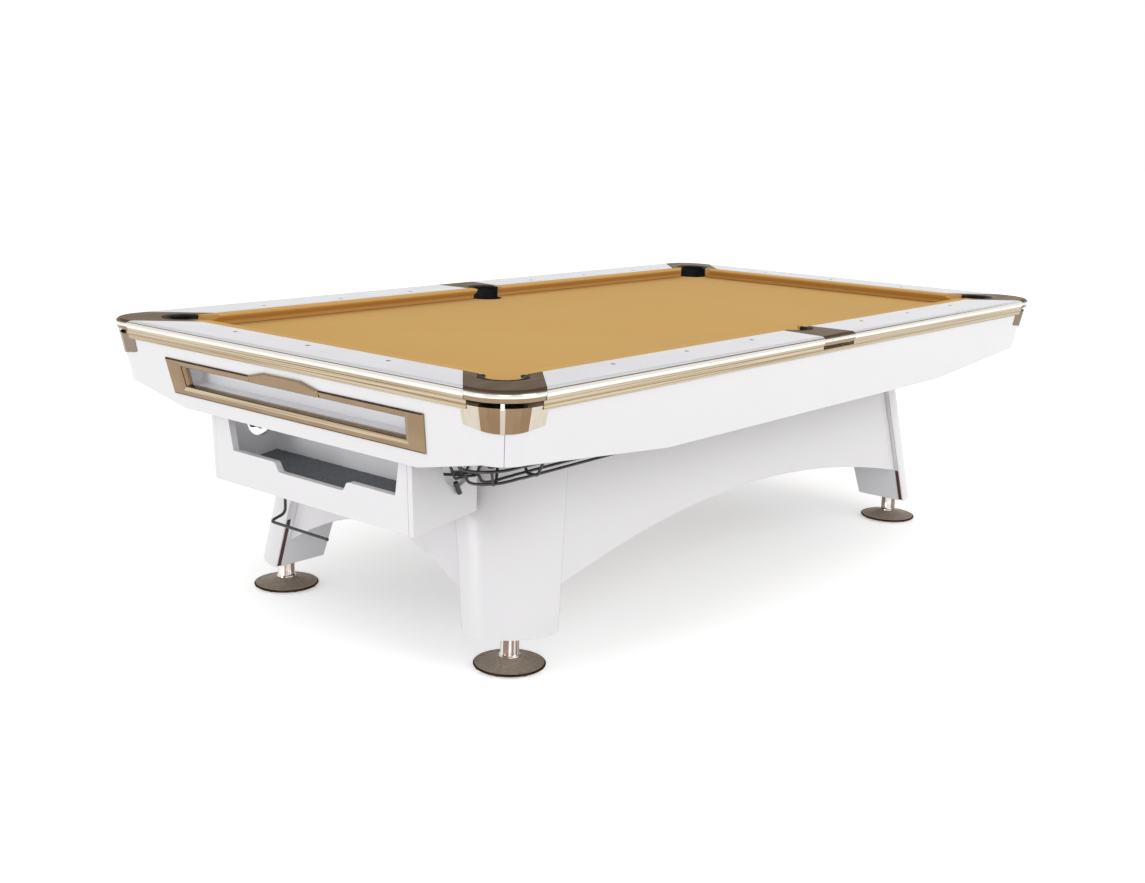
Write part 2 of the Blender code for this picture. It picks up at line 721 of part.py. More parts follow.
def apron_corners():
    """Curved metal shields over the apron corners, below the castings, their ends tucked under the trims."""
    top = BULLNOSE_BOTTOM - SHIELD_GAP
    tucked = TRIM_BOTTOM - GAP
    reach = SHIELD_RUN - SHIELD_TUCK
    ends = [(SHIELD_RUN, tucked), (reach + GAP, tucked), (reach, top)]
    stations = [(0, run, high) for run, high in ends]
    stations += [(90 * index / ARC_STEPS, 0, top) for index in range(ARC_STEPS + 1)]
    stations += [(90, run, high) for run, high in reversed(ends)]
    for corner in CORNERS:
        rings = []
        for index, (angle, run, high) in enumerate(stations):
            share = abs(2 * index / (len(stations) - 1) - 1)
            bottom = top - SHIELD_HEIGHT - SHIELD_DIP * (1 - share ** 2)
            outer = SHIELD_THICKNESS
            ring = []
            for height, proud in ((high, outer), (bottom, outer), (bottom, GAP), (high, GAP)):
                point = apron_point(corner, angle, height, -proud)
                if angle == 0:
                    point.y -= corner[1] * run
                if angle == 90:
                    point.x -= corner[0] * run
                ring.append(point)
            rings.append(ring)
        add(f"apron_corner_{CORNER_NAMES[corner]}", lofted("shield", rings), CHROME)


# Base: legs, panels and feet
def leg_section(height):
    """Inner corner and radius of a leg's quarter-round section at a height."""
    share = (height - LEG_BOTTOM) / (BASE_TOP - LEG_BOTTOM)
    x = LEG_X - LEG_SPLAY_X * share
    y = LEG_Y - LEG_SPLAY_Y * share
    return x, y, LEG_RADIUS_LOW + (LEG_RADIUS_HIGH - LEG_RADIUS_LOW) * share


def leg_outline(height):
    """A leg's quarter-round section at a height."""
    x, y, radius = leg_section(height)
    return [(x, y)] + arc((x, y), radius, 0, 90, LEG_ARC_STEPS)


def legs():
    """Quarter-round posts with a blind bore for the levelling stem."""
    bore_radius = STEM_SHANK_RADIUS + STEM_CLEARANCE
    bore_top = LEG_BOTTOM + STEM_SHANK_LENGTH + STEM_CLEARANCE
    for corner in CORNERS:
        rings = []
        for height in (LEG_BOTTOM, BASE_TOP):
            rings.append([(corner[0] * x, corner[1] * y, height) for x, y in leg_outline(height)])
        name = CORNER_NAMES[corner]
        leg = add(f"leg_{name}", lofted(name, rings), WHITE)
        bore = circle((corner[0] * FOOT_X, corner[1] * FOOT_Y), bore_radius, FOOT_SIDES)
        cut(leg, helper(f"cut_bore_{name}", prism("bore", bore, LEG_BOTTOM - STEM_SHANK_LENGTH, bore_top)))


def arch_panel(name, axis, side, arch_top, arch_end, recess):
    """A leaning base panel between two legs, arched along its lower edge and set back from their faces."""
    rings = []
    steps = 2 * ARC_STEPS
    for index in range(steps + 1):
        share = 2 * index / steps - 1
        low = arch_top - (arch_top - arch_end) * share ** 2
        ring = []
        for height, inset in ((BASE_TOP, 0), (low, 0), (low, PANEL_THICKNESS), (BASE_TOP, PANEL_THICKNESS)):
            x, y, radius = leg_section(height)
            half, base = (x, y) if axis == "x" else (y, x)
            along = share * (half - GAP)
            across = side * (base + radius - recess - inset)
            ring.append((along, across, height) if axis == "x" else (across, along, height))
        rings.append(ring)
    add(name, lofted(name, rings), WHITE)


def base_panels():
    """Arched side and end panels of the pedestal."""
    for side, name in ((-1, "near"), (1, "far")):
        arch_panel(f"base_panel_{name}", "x", side, SIDE_ARCH_TOP, SIDE_ARCH_END, SIDE_PANEL_RECESS)
    for side, name in ((-1, "head"), (1, "foot")):
        arch_panel(f"base_panel_{name}", "y", side, END_ARCH_TOP, END_ARCH_END, END_PANEL_RECESS)


def levelling_feet():
    """Round pads on the floor, each pushed down by a stem that screws out of the leg."""
    socket = STEM_PIN_RADIUS + STEM_CLEARANCE
    socket_floor = PAD_HEIGHT - STEM_PIN_LENGTH - STEM_CLEARANCE
    pad = [(0, 0), (PAD_RADIUS - PAD_RIM / 2, 0), (PAD_RADIUS, PAD_RIM / 2)]
    for step in range(ARC_STEPS // 2 + 1):
        share = step / (ARC_STEPS // 2)
        radius = PAD_RADIUS - PAD_RIM / 4 - (PAD_RADIUS - PAD_RIM / 4 - PAD_HUB_RADIUS) * share
        pad.append((radius, PAD_RIM + (PAD_HEIGHT - PAD_RIM) * share ** 2))
    pad += [(socket, PAD_HEIGHT), (socket, socket_floor), (0, socket_floor)]
    shoulder = LEG_BOTTOM - GAP
    foot = PAD_HEIGHT + GAP
    stem = [
        (0, foot - STEM_PIN_LENGTH),
        (STEM_PIN_RADIUS, foot - STEM_PIN_LENGTH),
        (STEM_PIN_RADIUS, foot),
        (STEM_RADIUS + STEM_FLARE, foot),
        (STEM_RADIUS, foot + STEM_FLARE_HEIGHT),
        (STEM_RADIUS, shoulder),
        (STEM_SHANK_RADIUS, shoulder),
        (STEM_SHANK_RADIUS, shoulder + STEM_SHANK_LENGTH),
        (0, shoulder + STEM_SHANK_LENGTH),
    ]
    for corner in CORNERS:
        place = (corner[0] * FOOT_X, corner[1] * FOOT_Y, 0)
        name = CORNER_NAMES[corner]
        add(f"foot_pad_{name}", turned("pad", pad, FOOT_SIDES), PEWTER).location = place
        add(f"foot_stem_{name}", turned("stem", stem, FOOT_SIDES), CHROME).location = place


# Ball return
BOX_FRONT_X = -(HALF_LENGTH + BOX_FRONT)
REAR_LEG_X, _, REAR_LEG_RADIUS = leg_section(BOX_REAR_BOTTOM)
BOX_BACK_X = -(REAR_LEG_X + REAR_LEG_RADIUS + BOX_LEG_CLEARANCE)
TRACK_HOLE_X = BOX_BACK_X - TRACK_HOLE_BACK
TRACK_HOLE_Z = BOX_BOTTOM + TRACK_HOLE_HEIGHT
TRACK_HOLE_RADIUS = TRACK_HOLE_CLEARANCE + math.hypot(
    TRACK_GUARD_GAP / 2 + TIE_RADIUS,
    TRACK_GUARD_RISE + 2 * TIE_RADIUS - TRACK_SEAT,
)


def ball_box():
    """Open-topped box that collects the balls, with a window in its front and a hole in each side."""
    wall = BOX_WALL
    shoulder = BOX_FRONT_X + BOX_SHOULDER
    outside = [
        (BOX_FRONT_X, BOX_BOTTOM),
        (BOX_BACK_X, BOX_REAR_BOTTOM),
        (BOX_BACK_X, BASE_TOP),
        (shoulder, BASE_TOP),
        (shoulder, BOX_LIP),
        (BOX_FRONT_X - BOX_LEAN, BOX_LIP),
    ]
    box = add("ball_box", across_prism("box", outside, BOX_WIDTH / 2), WHITE)
    past = BASE_TOP + FRAME_HEIGHT
    hollow = [
        (BOX_FRONT_X + wall, BOX_BOTTOM + BOX_FLOOR_THICKNESS),
        (BOX_BACK_X - wall, BOX_REAR_BOTTOM + BOX_FLOOR_THICKNESS),
        (BOX_BACK_X - wall, past),
        (BOX_FRONT_X - BOX_LEAN + wall, past),
    ]
    cut(box, helper("cut_box", across_prism("hollow", hollow, BOX_WIDTH / 2 - wall)))
    sill = BOX_BOTTOM + WINDOW_SILL
    half = BOX_WIDTH / 2 - WINDOW_SIDE
    window = [(half + WINDOW_SPREAD, BOX_LIP - wall), (half, sill)]
    for step in range(ARC_STEPS // 2, -1, -1):
        share = step / (ARC_STEPS // 2)
        drop = WINDOW_DIP * (1 + math.cos(math.pi * share)) / 2
        window.append((WINDOW_DIP_WIDTH / 2 + WINDOW_DIP_SLOPE * share, sill - drop))
    window += [(-y, z) for y, z in reversed(window)]
    through = (BOX_FRONT_X - BOX_LEAN - wall, BOX_FRONT_X + 2 * wall)
    rings = [[(x, y + WINDOW_SHIFT, z) for y, z in window] for x in through]
    cut(box, helper("cut_window", lofted("window", rings)))
    hole = circle((TRACK_HOLE_X, TRACK_HOLE_Z), TRACK_HOLE_RADIUS, POCKET_SIDES)
    cut(box, helper("cut_track_holes", across_prism("hole", hole, BOX_WIDTH)))


def smooth_route(points, steps):
    """A Catmull-Rom curve through some points."""
    points = [Vector(point) for point in points]
    ends = [2 * points[0] - points[1]] + points + [2 * points[-1] - points[-2]]
    route = []
    for index in range(len(points) - 1):
        a, b, c, d = ends[index:index + 4]
        for step in range(steps):
            t = step / steps
            route.append(0.5 * (2 * b + (c - a) * t + (2 * a - 5 * b + 4 * c - d) * t ** 2
                                + (3 * b - a - 3 * c + d) * t ** 3))
    return route + [points[-1]]


def track_route(side):
    """Centre line of a ball track: straight under one side's pockets, then round into the ball box."""
    if side < 0:
        bend_x, radius, whole_turn = -(HALF_LENGTH - TRACK_BEND_START), TRACK_BEND_RADIUS, TRACK_BEND_TURN
    else:
        bend_x, radius, whole_turn = TRACK_HOLE_X + TRACK_FAR_RADIUS, TRACK_FAR_RADIUS, TRACK_FAR_TURN
    far_z = LINER_BOTTOM - TRACK_LINER_CLEARANCE - TRACK_GUARD_RISE - TIE_RADIUS
    bend_z = far_z - TRACK_FALL * (POCKET_X - bend_x)
    plan = []
    for turn in (0, whole_turn / 2, whole_turn):
        run = radius * math.sin(math.radians(turn))
        shift = radius * (1 - math.cos(math.radians(turn)))
        plan.append((bend_x - run, POCKET_Y - shift))
    plan.append((TRACK_HOLE_X, BOX_WIDTH / 2 + TRACK_APPROACH))
    plan.append((TRACK_HOLE_X, BOX_WIDTH / 2 - BOX_WALL - TRACK_REACH))
    end_z = TRACK_HOLE_Z - TRACK_SEAT
    bend = []
    for index, (x, y) in enumerate(plan):
        bend.append((x, y, bend_z + (end_z - bend_z) * index / (len(plan) - 1)))
    route = [Vector((POCKET_X, POCKET_Y, far_z))] + smooth_route(bend, BEND_STEPS)
    return [Vector((point.x, side * point.y, point.z)) for point in route]


def across_route(route, index):
    """Level direction across a route at one of its points."""
    ahead = route[min(index + 1, len(route) - 1)] - route[max(index - 1, 0)]
    return Vector((-ahead.y, ahead.x, 0)).normalized()


def tie(centre, across, hangs):
    """A bracket under the wires; one that hangs runs on from its inner guard up to the slate frame."""
    low = Vector((0, 0, -WIRE_RADIUS))
    high = Vector((0, 0, TRACK_GUARD_RISE))
    rail = across * (TRACK_RAIL_GAP / 2)
    guard = across * (TRACK_GUARD_GAP / 2)
    bracket = [centre + guard + high, centre + rail + low, centre - rail + low, centre - guard + high]
    if hangs:
        seat = Vector((centre.x, math.copysign(FRAME_Y - TRACK_HANGER_INSET, centre.y), FRAME_BOTTOM - GAP))
        bracket += [seat - Vector((0, 0, TRACK_HANGER_INSET)), seat]
    return bracket


def ball_track(side, name):
    """Two running wires and two guard wires, tied by brackets, every second one hung from the slate frame."""
    route = track_route(side)
    wires = []
    for gap, rise in ((TRACK_RAIL_GAP, 0), (TRACK_GUARD_GAP, TRACK_GUARD_RISE)):
        for hand in (-0.5, 0.5):
            wires.append([
                point + across_route(route, index) * (gap * hand) + Vector((0, 0, rise))
                for index, point in enumerate(route)
            ])
    track = add(f"ball_track_{name}", tubes("wires", wires, WIRE_RADIUS, WIRE_SIDES), WIRE)
    straight = route[1] - route[0]
    inset = straight.normalized() * TRACK_TIE_INSET
    ties = []
    for index in range(TRACK_SPANS + 1):
        centre = route[0] + inset + (straight - inset * 1.5) * (index / TRACK_SPANS)
        ties.append(tie(centre, Vector((0, side, 0)), index % 2 == 0))
    for corner in (1, 3):
        place = 1 + corner * BEND_STEPS
        ties.append(tie(route[place], across_route(route, place), False))
    join(track, helper(f"join_ties_{name}", tubes("ties", ties, TIE_RADIUS, TIE_SIDES)))


def rack_hanger():
    """Bent rod under the ball box that holds a ball rack."""
    x = BOX_FRONT_X + HANGER_BACK
    front = x - HANGER_OUT
    slope = BOX_FLOOR_RISE / (BOX_BACK_X - BOX_FRONT_X)
    seat = BOX_BOTTOM + slope * HANGER_BACK
    low = seat - HANGER_DROP
    bend = HANGER_BEND
    corners = [
        (x, HANGER_Y, seat - HANGER_FLANGE_THICKNESS / 2),
        (x, HANGER_Y, low + bend),
        (x - bend, HANGER_Y, low),
        (front + bend, HANGER_Y, low - bend / 2),
        (front, HANGER_Y - bend, low - bend / 2),
        (front, HANGER_Y - HANGER_ARM, low - bend / 2),
    ]
    rod = add("rack_hanger", tubes("rod", [corners], HANGER_RADIUS, WIRE_SIDES), WIRE)
    ring = circle((0, 0), HANGER_FLANGE_RADIUS, FOOT_SIDES // 2)
    levels = []
    for depth in (HANGER_FLANGE_THICKNESS, 0):
        levels.append([(x + dx, HANGER_Y + dy, seat - GAP - depth + slope * dx) for dx, dy in ring])
    join(rod, helper("join_flange", lofted("flange", levels)))


bed()
slate_frame()
rails()
rail_trims()
corner_caps()
side_caps()
for pocket in POCKET_CENTRES:
    pocket_liner(pocket)
aprons()
tray_frame()
apron_corners()
legs()
base_panels()
levelling_feet()
ball_box()
ball_track(-1, "near")
ball_track(1, "far")
rack_hanger()
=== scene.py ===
"""Looks of a nine-foot pool table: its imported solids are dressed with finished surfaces, lit and framed."""
import contextlib
import math

import bmesh
import bpy
from mathutils import Matrix, Vector, noise


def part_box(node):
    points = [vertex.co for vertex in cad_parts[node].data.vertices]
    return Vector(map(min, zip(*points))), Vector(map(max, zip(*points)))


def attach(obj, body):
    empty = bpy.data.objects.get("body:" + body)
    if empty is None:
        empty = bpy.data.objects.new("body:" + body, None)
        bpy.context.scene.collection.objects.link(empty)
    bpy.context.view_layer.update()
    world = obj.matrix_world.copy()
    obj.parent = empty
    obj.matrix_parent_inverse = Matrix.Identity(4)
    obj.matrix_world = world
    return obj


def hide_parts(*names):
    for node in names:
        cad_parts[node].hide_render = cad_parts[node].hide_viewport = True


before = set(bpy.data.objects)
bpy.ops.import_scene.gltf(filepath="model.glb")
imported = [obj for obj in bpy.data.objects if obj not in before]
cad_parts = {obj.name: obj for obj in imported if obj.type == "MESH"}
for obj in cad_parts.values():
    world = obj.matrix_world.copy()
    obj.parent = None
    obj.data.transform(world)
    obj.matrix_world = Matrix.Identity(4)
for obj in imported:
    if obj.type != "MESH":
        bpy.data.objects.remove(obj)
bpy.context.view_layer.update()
LOW = {name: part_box(name)[0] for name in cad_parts}
HIGH = {name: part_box(name)[1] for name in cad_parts}

# Places read from the frame: the field ends at the cushion noses, distances run outward from them
HALF_LENGTH = -HIGH["cushion_head"].x
HALF_WIDTH = LOW["cushion_far_head"].y
RAIL_TOP = HIGH["rail_cap_head"].z
BED_TOP = HIGH["bed_cloth"].z
SLATE_TOP = HIGH["slate_bed"].z
CAP_INNER = LOW["rail_cap_far_head"].y - HALF_WIDTH
CAP_OUTER = HIGH["rail_cap_far_head"].y - HALF_WIDTH
TRIM_OUTER = HIGH["rail_trim_far"].y - HALF_WIDTH
TRIM_BOTTOM = LOW["rail_trim_far"].z
BULLNOSE_BOTTOM = LOW["corner_cap_a"].z
APRON_TOP = HIGH["apron_near"].z
CLOTH_REACH = HIGH["bed_cloth"].y - HALF_WIDTH
POCKET_NAMES = ("a", "b", "c", "d", "side_near", "side_far")
POCKETS = {name: (LOW[f"pocket_liner_{name}"] + HIGH[f"pocket_liner_{name}"]) / 2 for name in POCKET_NAMES}
POCKET_RADIUS = (HIGH["pocket_liner_a"].x - LOW["pocket_liner_a"].x) / 2
HALF_ALONG = {"x": HALF_LENGTH, "y": HALF_WIDTH}
HALF_ACROSS = {"x": HALF_WIDTH, "y": HALF_LENGTH}
CORNERS = {"a": (-1, -1), "b": (-1, 1), "c": (1, -1), "d": (1, 1)}
RAILS = ("near_head", "near_foot", "far_head", "far_foot", "head", "foot")

# Camera, fitted to the photograph
CAMERA_PLACE = (-3.6859, -2.9102, 1.4427)
CAMERA_YAW = 40.3133
CAMERA_PITCH = -12.8086
CAMERA_ROLL = 1.6051
CAMERA_LENS = 43.79
SENSOR_WIDTH = 36.0

# Stage: lamps by place, aim, size and power, and a dark card overhead that only reflections show
FLOOR_HALF = 60.0
FLOOR_LIFT = 0.42
SURROUND = 0.88
LAMPS = (
    ("side_light", (0.5, -6.5, 3.6), (0, 0, 0.5), (4.0, 4.0), 95.0),
    ("end_light", (-6.6, 0.8, 0.95), (-1.3, 0, 0.55), (1.6, 1.6), 48.0),
    ("corner_light", (-5.6, -4.6, 4.4), (0, 0, 0.6), (3.0, 3.0), 30.0),
    ("box_light", (-1.335, 0.0, 0.640), (-1.16, 0.0, 0.56), (0.72, 0.03), 0.14),
)
CARD_COLOUR = (0.27, 0.22, 0.165)
CARD_HEIGHT = 4.8
CARD_NEAR = -4.5
CARD_FAR = 11.0

# Points and faces that count as one; the angle between faces is in degrees
SAME_POINT = 0.000001
SAME_CORNER = 0.00002
SAME_LEVEL = 0.0005
SAME_FACE = 0.4

# Edges and limits: a face counts as facing a way when its normal reaches the limit
EDGE = 0.0012
BOARD_EDGE = 0.0025
METAL_EDGE = 0.0008
SEAM_GAP = 0.0004
FACING = 0.9
FLAT = 0.97
LEANING = 0.1
FACES_PER_BAND = 4

# Bed cloth and cushions, in metres
CLOTH_ROLL = 0.0013
CLOTH_CLEAR = 0.0004
CLOTH_LIFT = 0.0001
CUSHION_GAP = 0.0006
HEEL_EASE = 0.0012
CROWN = 0.0005
CROWN_END = 0.012
CROWN_FALL = 0.0002
NOSE_DROP = 0.0055
NOSE_RADIUS = 0.005
NOSE_ARC = (75, 230, 9)
UNDERSIDE = ((0.016, 0.0165), (0.0205, 0.0135), (0.0225, 0.010), (0.0232, 0.001))
CORNER_NOSE = 0.0886
CORNER_SLOPE = 1.28
SIDE_NOSE = 0.0635
SIDE_SLOPE = 0.25
MOUTH_GAP = 0.0012
CUSHION_TIP = 0.004
CUSHION_STEPS = 4
TIP_SHRINK = 0.14
CUSHION_SHARES = (0.03, 0.25, 0.5, 0.75, 0.97)

# Rails and their trims; profiles are (outward, height) steps from the edge that they soften
SIGHT_RADIUS = 0.0065
SIGHT_OUT = 0.084
SIGHT_SPACING = 0.3175
SIGHT_PROFILE = ((-SIGHT_RADIUS, -0.001), (0, -0.001), (0, 0), (-0.0006, 0.0002), (-SIGHT_RADIUS, 0.00025))
TRIM_GAP = 0.0006
BULLNOSE_TURN = 118
BULLNOSE_STEPS = 16
BULLNOSE_FOOT = 0.0008
BULLNOSE_REFLECTION_DROP = 0.006
# Drop below the bullnose middle where its painted tan reflection begins
SHOULDER_TURN = 44
LIP_BOTTOM = BULLNOSE_BOTTOM - 0.011
LIP_OUT = CAP_OUTER + 0.010
LIP_REACH = 0.010
LIP_BROW = ((-0.0005, 0), (0, -0.0005))
LIP_CHIN = ((0, 0.0012), (-0.0008, 0))
LOWER_LIP_OUT = CAP_OUTER + 0.006
LOWER_LIP_BEAD = ((0.0012, 0), (0.0018, -0.0010), (0.0012, -0.0022), (0, -0.0028))
LOWER_LIP_CHIN = ((0, 0.0006), (-0.0006, 0))
BEAD_TALL = 0.0026

# Castings, pocket rims and corner shields; turns in degrees
SIDE_FLARE = 0.0125
CORNER_ROUND = 0.115
# Drop below the casting edge's middle where its painted tan reflection begins
CASTING_REFLECTION_DROP = 0.004
CASTING_SHINE = 0.44
OUTER_FACE = 0.02
TOP_AREA = 0.001
RIM_GAP = 0.0004
RIM_EASE = 0.008
RIM_DROP = 0.0065
RIM_INSET = 0.0044
RIM_WIDE = 0.0092
RIM_TALL = 0.0045
RIM_BELOW = 0.0002
RIM_TAPER = 0.7
RIM_STEPS = 36
RIM_SECTION = (0, 330, 11)
RIM_CORNER_REACH = 122
RIM_SIDE_REACH = 77
SHIELD_PROUD = 0.003
SHIELD_RADIUS = 0.100
SHIELD_RUN = 0.042
SHIELD_TUCK = 0.012
SHIELD_SHARES = (1, 0.66, 0.33)
SHIELD_THICK = 0.0026
SHIELD_DIP = 0.013
SHIELD_CURVE = 2.2
SHIELD_STEPS = 40
# Share and turns of the shields' painted reflection bands: the ends, and a pale stripe near the middle
SHIELD_REFLECTION_ENDS = 0.60
REFLECTION_STRIPE_START = 38
REFLECTION_STRIPE_END = 45
TAB_AT = 41.5
TAB_LAP = 0.004
TAB_TURN = 2.6
TAB_PROUD = 0.003
TAB_ROOT = 0.0005

# Aprons, legs, ball box and tray
APRON_LEAN = 0.2065
LEG_SKIN = 0.016
LEG_CORNER = 0.012
LEG_CORNER_STOPS = (0, 0.06, 0.2, 0.4, 0.65, 1)
LEG_SEAM = 0.0003
LEG_STEPS = 20
CORE_STEPS = 16
LEG_CLEAR = 1.2 * LEG_CORNER
STRIP_OUT = 0.003
STRIP_IN = 0.0155
STRIP_THICK = 0.0008
STRIP_ABOVE = 0.072
STRIP_START = 0.4
EDGING = ((-0.0001, 0.0018), (0.0003, 0.0003), (0.0018, -0.0001), (0.0024, 0.0024))
BOX_WALL = 0.018
BOX_EDGE = 0.0014
WINDOW_SHIFT = -0.015
WINDOW_DIP = ((0.133, 0.4837), (0.155, 0.5107))
WINDOW_ROUND = 0.010
WINDOW_NEAR = 0.006
# Reach of the faces painted in the brighter, shade-lifting white
SHADE_LIFT_REACH = 0.004
CARPET_FRONT = -1.343
CARPET_BACK = -1.155
CARPET_LOW = 0.4379
CARPET_HIGH = 0.4646
CARPET_MARGIN = 0.002
CARPET_GAP = 0.0003
CARPET_PILE = 0.0051
CARPET_WAVE = 0.0018
CARPET_GRAIN = 90
CARPET_COLUMNS = 60
CARPET_ROWS = 16
TRAY_INSIDE_LOW = 0.688
TRAY_INSIDE_HIGH = 0.742
TRAY_INSIDE_HALF = 0.474
TRAY_STILE = 0.070
TRAY_SHIFT = -0.0065
TRAY_SPLAY = 0.0065
TRAY_TOP_RAIL = 0.021
TRAY_BOTTOM_RAIL = 0.030
TRAY_OUTER_STEPS = ((0.0, 0.0004), (0.0006, 0.0040), (0.0040, 0.0060))
TRAY_INNER_STEPS = (
    (0.0150, 0.0060), (0.0050, 0.0030), (0.0030, 0.0030), (-0.0004, -0.0200), (-0.0030, -0.0200),
    (-0.0026, -0.0100), (0.0010, 0.0004),
)

# Bands of faces from the tray frame's outer edge inward, and the sides of each band; bevel bands are painted
# dark and pale bands pale as painted reflections, the reveal dark as painted shade
TRAY_DARK_REFLECTION_BANDS = (0, 1)
TRAY_PALE_REFLECTION_BANDS = (3, 4)
TRAY_SHADED_REVEAL = 5
TRAY_BOTTOM_SIDE = 0
TRAY_TOP_SIDE = 2

# Plaque on the tray frame
PLAQUE_RISE = 0.016
PLAQUE_BASE = 0.145
PLAQUE_TOP = 0.0775
PLAQUE_LAP = 0.002
PLAQUE_STEPS = ((0.0, 0.0006), (0.0, 0.0060), (0.004, 0.0088))

# Wires: each bend is a plan of the far side, from the straight run to the ball box
TUBE_START = (0.31, 0.22, 0.92)
RUN_PER_BEND = 2.1
BEND_STEPS = 6
WIRE_RADIUS = 0.0039
TIE_RADIUS = 0.0040
TIE_BEND = 0.006
TRACK_START = 0.6234
TRACK_FALL = 0.012
TRACK_END = 0.5477
TRACK_RAIL_HALF = 0.0175
TRACK_GUARD_HALF = 0.036
TRACK_GUARD_RISE = 0.035
TRACK_STEPS = 10
TRACK_SPANS = 6
TRACK_TIE_INSET = 0.100
TRACK_TIE_ENDS = 1.5
TRACK_SEAT_Y = 0.580
TRACK_KNEE = 0.010
NEAR_BEND = ((-1.23, 0.656), (-1.2837, 0.625), (-1.2837, 0.563), (-1.208, 0.465), (-1.208, 0.382))
FAR_BEND = ((-1.088, 0.656), (-1.1729, 0.6209), (-1.208, 0.536), (-1.208, 0.465), (-1.208, 0.382))
CLIP_RADIUS = 0.0068
CLIP_DROP = 0.046
CLIP_OUT = 0.009
CLIP_LEAN = 0.022
CLIP_SHARES = (0.3, 0.5, 0.7, 0.9, 1)
HANGER_RADIUS = 0.0044
HANGER_BEND = 0.018
HANGER_KNEE = 0.014
HANGER_ROOT = 0.002
HANGER_FLANGE = 0.014
FLANGE_TALL = 0.009
FLANGE_EASE = 0.003

# Feet
GLIDE_TALL = 0.004
GLIDE_INSET = 0.0095
GLIDE_PROFILE = ((0.0, 0.0), (0.0068, 0.0), (0.0085, 0.0012), (0.0085, 0.005), (0.0, 0.005))
GLIDE_ARC = (22.5, 337.5, 7)
DISC_RIM = ((-0.010, 0), (-0.0035, 0.001), (-0.0008, 0.003), (0, 0.0055), (-0.0012, 0.0072), (-0.004, 0.0082))
DISC_EDGE = 0.0045
DISC_START = 0.0119
DISC_STEPS = 14
DISC_CURVE = 1.5
DARK_RIM = 0.0046
DARK_RIM_LOW = 0.0015
PEBBLE_MARGIN = 0.006
PEBBLE_LOW = 0.004
PEBBLE_TALL = 0.0004
PEBBLE_GRAIN = 160
PAD_HUB = 0.034
HUB_STEP = 0.002
HUB_EASE = ((-0.002, -0.0006), (-0.004, 0))
PAD_SOCKET = 0.0128
SOCKET_DEEP = 0.0148
STEM_RADIUS = 0.026
STEM_PIN = 0.0119
STEM_SHANK = 0.0149
STEM_FOOT_GAP = 0.0003
STEM_FLARE = ((0.0025, 0), (0.004, 0.0015), (0.0035, 0.004), (0.0012, 0.0065), (0, 0.009))
STEM_NECK = ((0, -0.012), (-0.0012, -0.0108), (-0.0012, -0.0095), (0, -0.0083), (0, -0.0015), (-0.0012, 0))


# Finishes
def add_node(tree, kind, inputs=None, **settings):
    """A shader node with its settings, its inputs given as values or as another node's output socket."""
    made = tree.nodes.new(kind)
    for key, value in settings.items():
        setattr(made, key, value)
    for key, value in (inputs or {}).items():
        if isinstance(value, bpy.types.NodeSocket):
            tree.links.new(value, made.inputs[key])
        else:
            made.inputs[key].default_value = value
    return made


class Look:
    """A finish for one of the record's slots: a Principled material whose textures are added call by call."""

    def __init__(self, name, colour, roughness, metallic=0.0, slot=None, **sockets):
        self.slot = slot or name
        self.material = bpy.data.materials.new(f"{name}_finish")
        self.material.use_nodes = True
        self.tree = self.material.node_tree
        self.shader = self.tree.nodes["Principled BSDF"]
        sockets.update(Base_Color=(*colour, 1.0), Roughness=roughness, Metallic=metallic)
        for socket, value in sockets.items():
            self.shader.inputs[socket.replace("_", " ")].default_value = value

    def texture(self, scale, detail=None, stretch=(1, 1, 1)):
        """Noise of some detail, or without it the distance to scattered points, on stretched metres."""
        place = add_node(self.tree, "ShaderNodeTexCoord").outputs["Object"]
        mapping = add_node(self.tree, "ShaderNodeMapping", {"Vector": place, "Scale": stretch})
        inputs = {"Vector": mapping.outputs["Vector"], "Scale": scale}
        if detail is None:
            return add_node(self.tree, "ShaderNodeTexVoronoi", inputs).outputs["Distance"]
        return add_node(self.tree, "ShaderNodeTexNoise", {**inputs, "Detail": detail}).outputs["Fac"]

    def spread(self, texture, low, high, start, end):
        """A texture mapped to a range."""
        inputs = {"Value": self.texture(*texture), "To Min": low, "To Max": high}
        inputs.update({"From Min": start, "From Max": end})
        return add_node(self.tree, "ShaderNodeMapRange", inputs).outputs["Result"]

    def tint(self, texture, amount, other, start=0.3, end=0.7):
        """Mixes the colour so far towards another one where a texture is high."""
        mix = add_node(self.tree, "ShaderNodeMix", data_type="RGBA")
        base = self.shader.inputs["Base Color"]
        if base.is_linked:
            self.tree.links.new(base.links[0].from_socket, mix.inputs["A"])
        else:
            mix.inputs["A"].default_value = base.default_value
        mix.inputs["B"].default_value = (*other, 1.0)
        self.tree.links.new(self.spread(texture, 0.0, amount, start, end), mix.inputs["Factor"])
        self.tree.links.new(mix.outputs["Result"], base)

    def rough(self, texture, low, high):
        """Roughness that varies with a texture."""
        self.tree.links.new(self.spread(texture, low, high, 0.3, 0.7), self.shader.inputs["Roughness"])

    def bump(self, texture, height, strength):
        """Bump of a height in metres, on top of any bump so far."""
        inputs = {"Height": self.texture(*texture), "Distance": height, "Strength": strength}
        made = add_node(self.tree, "ShaderNodeBump", inputs)
        normal = self.shader.inputs["Normal"]
        if normal.is_linked:
            self.tree.links.new(normal.links[0].from_socket, made.inputs["Normal"])
        self.tree.links.new(made.outputs["Normal"], normal)


# Satin white lacquer on board
WHITE = Look("white_lacquer", (0.800, 0.788, 0.800), 0.3, Coat_Weight=0.25, Coat_Roughness=0.12)
WHITE.tint((1.7, 1.0), 0.08, (0.62, 0.605, 0.64), 0.1, 0.9)
WHITE.rough((7.0, 2.0), 0.285, 0.355)

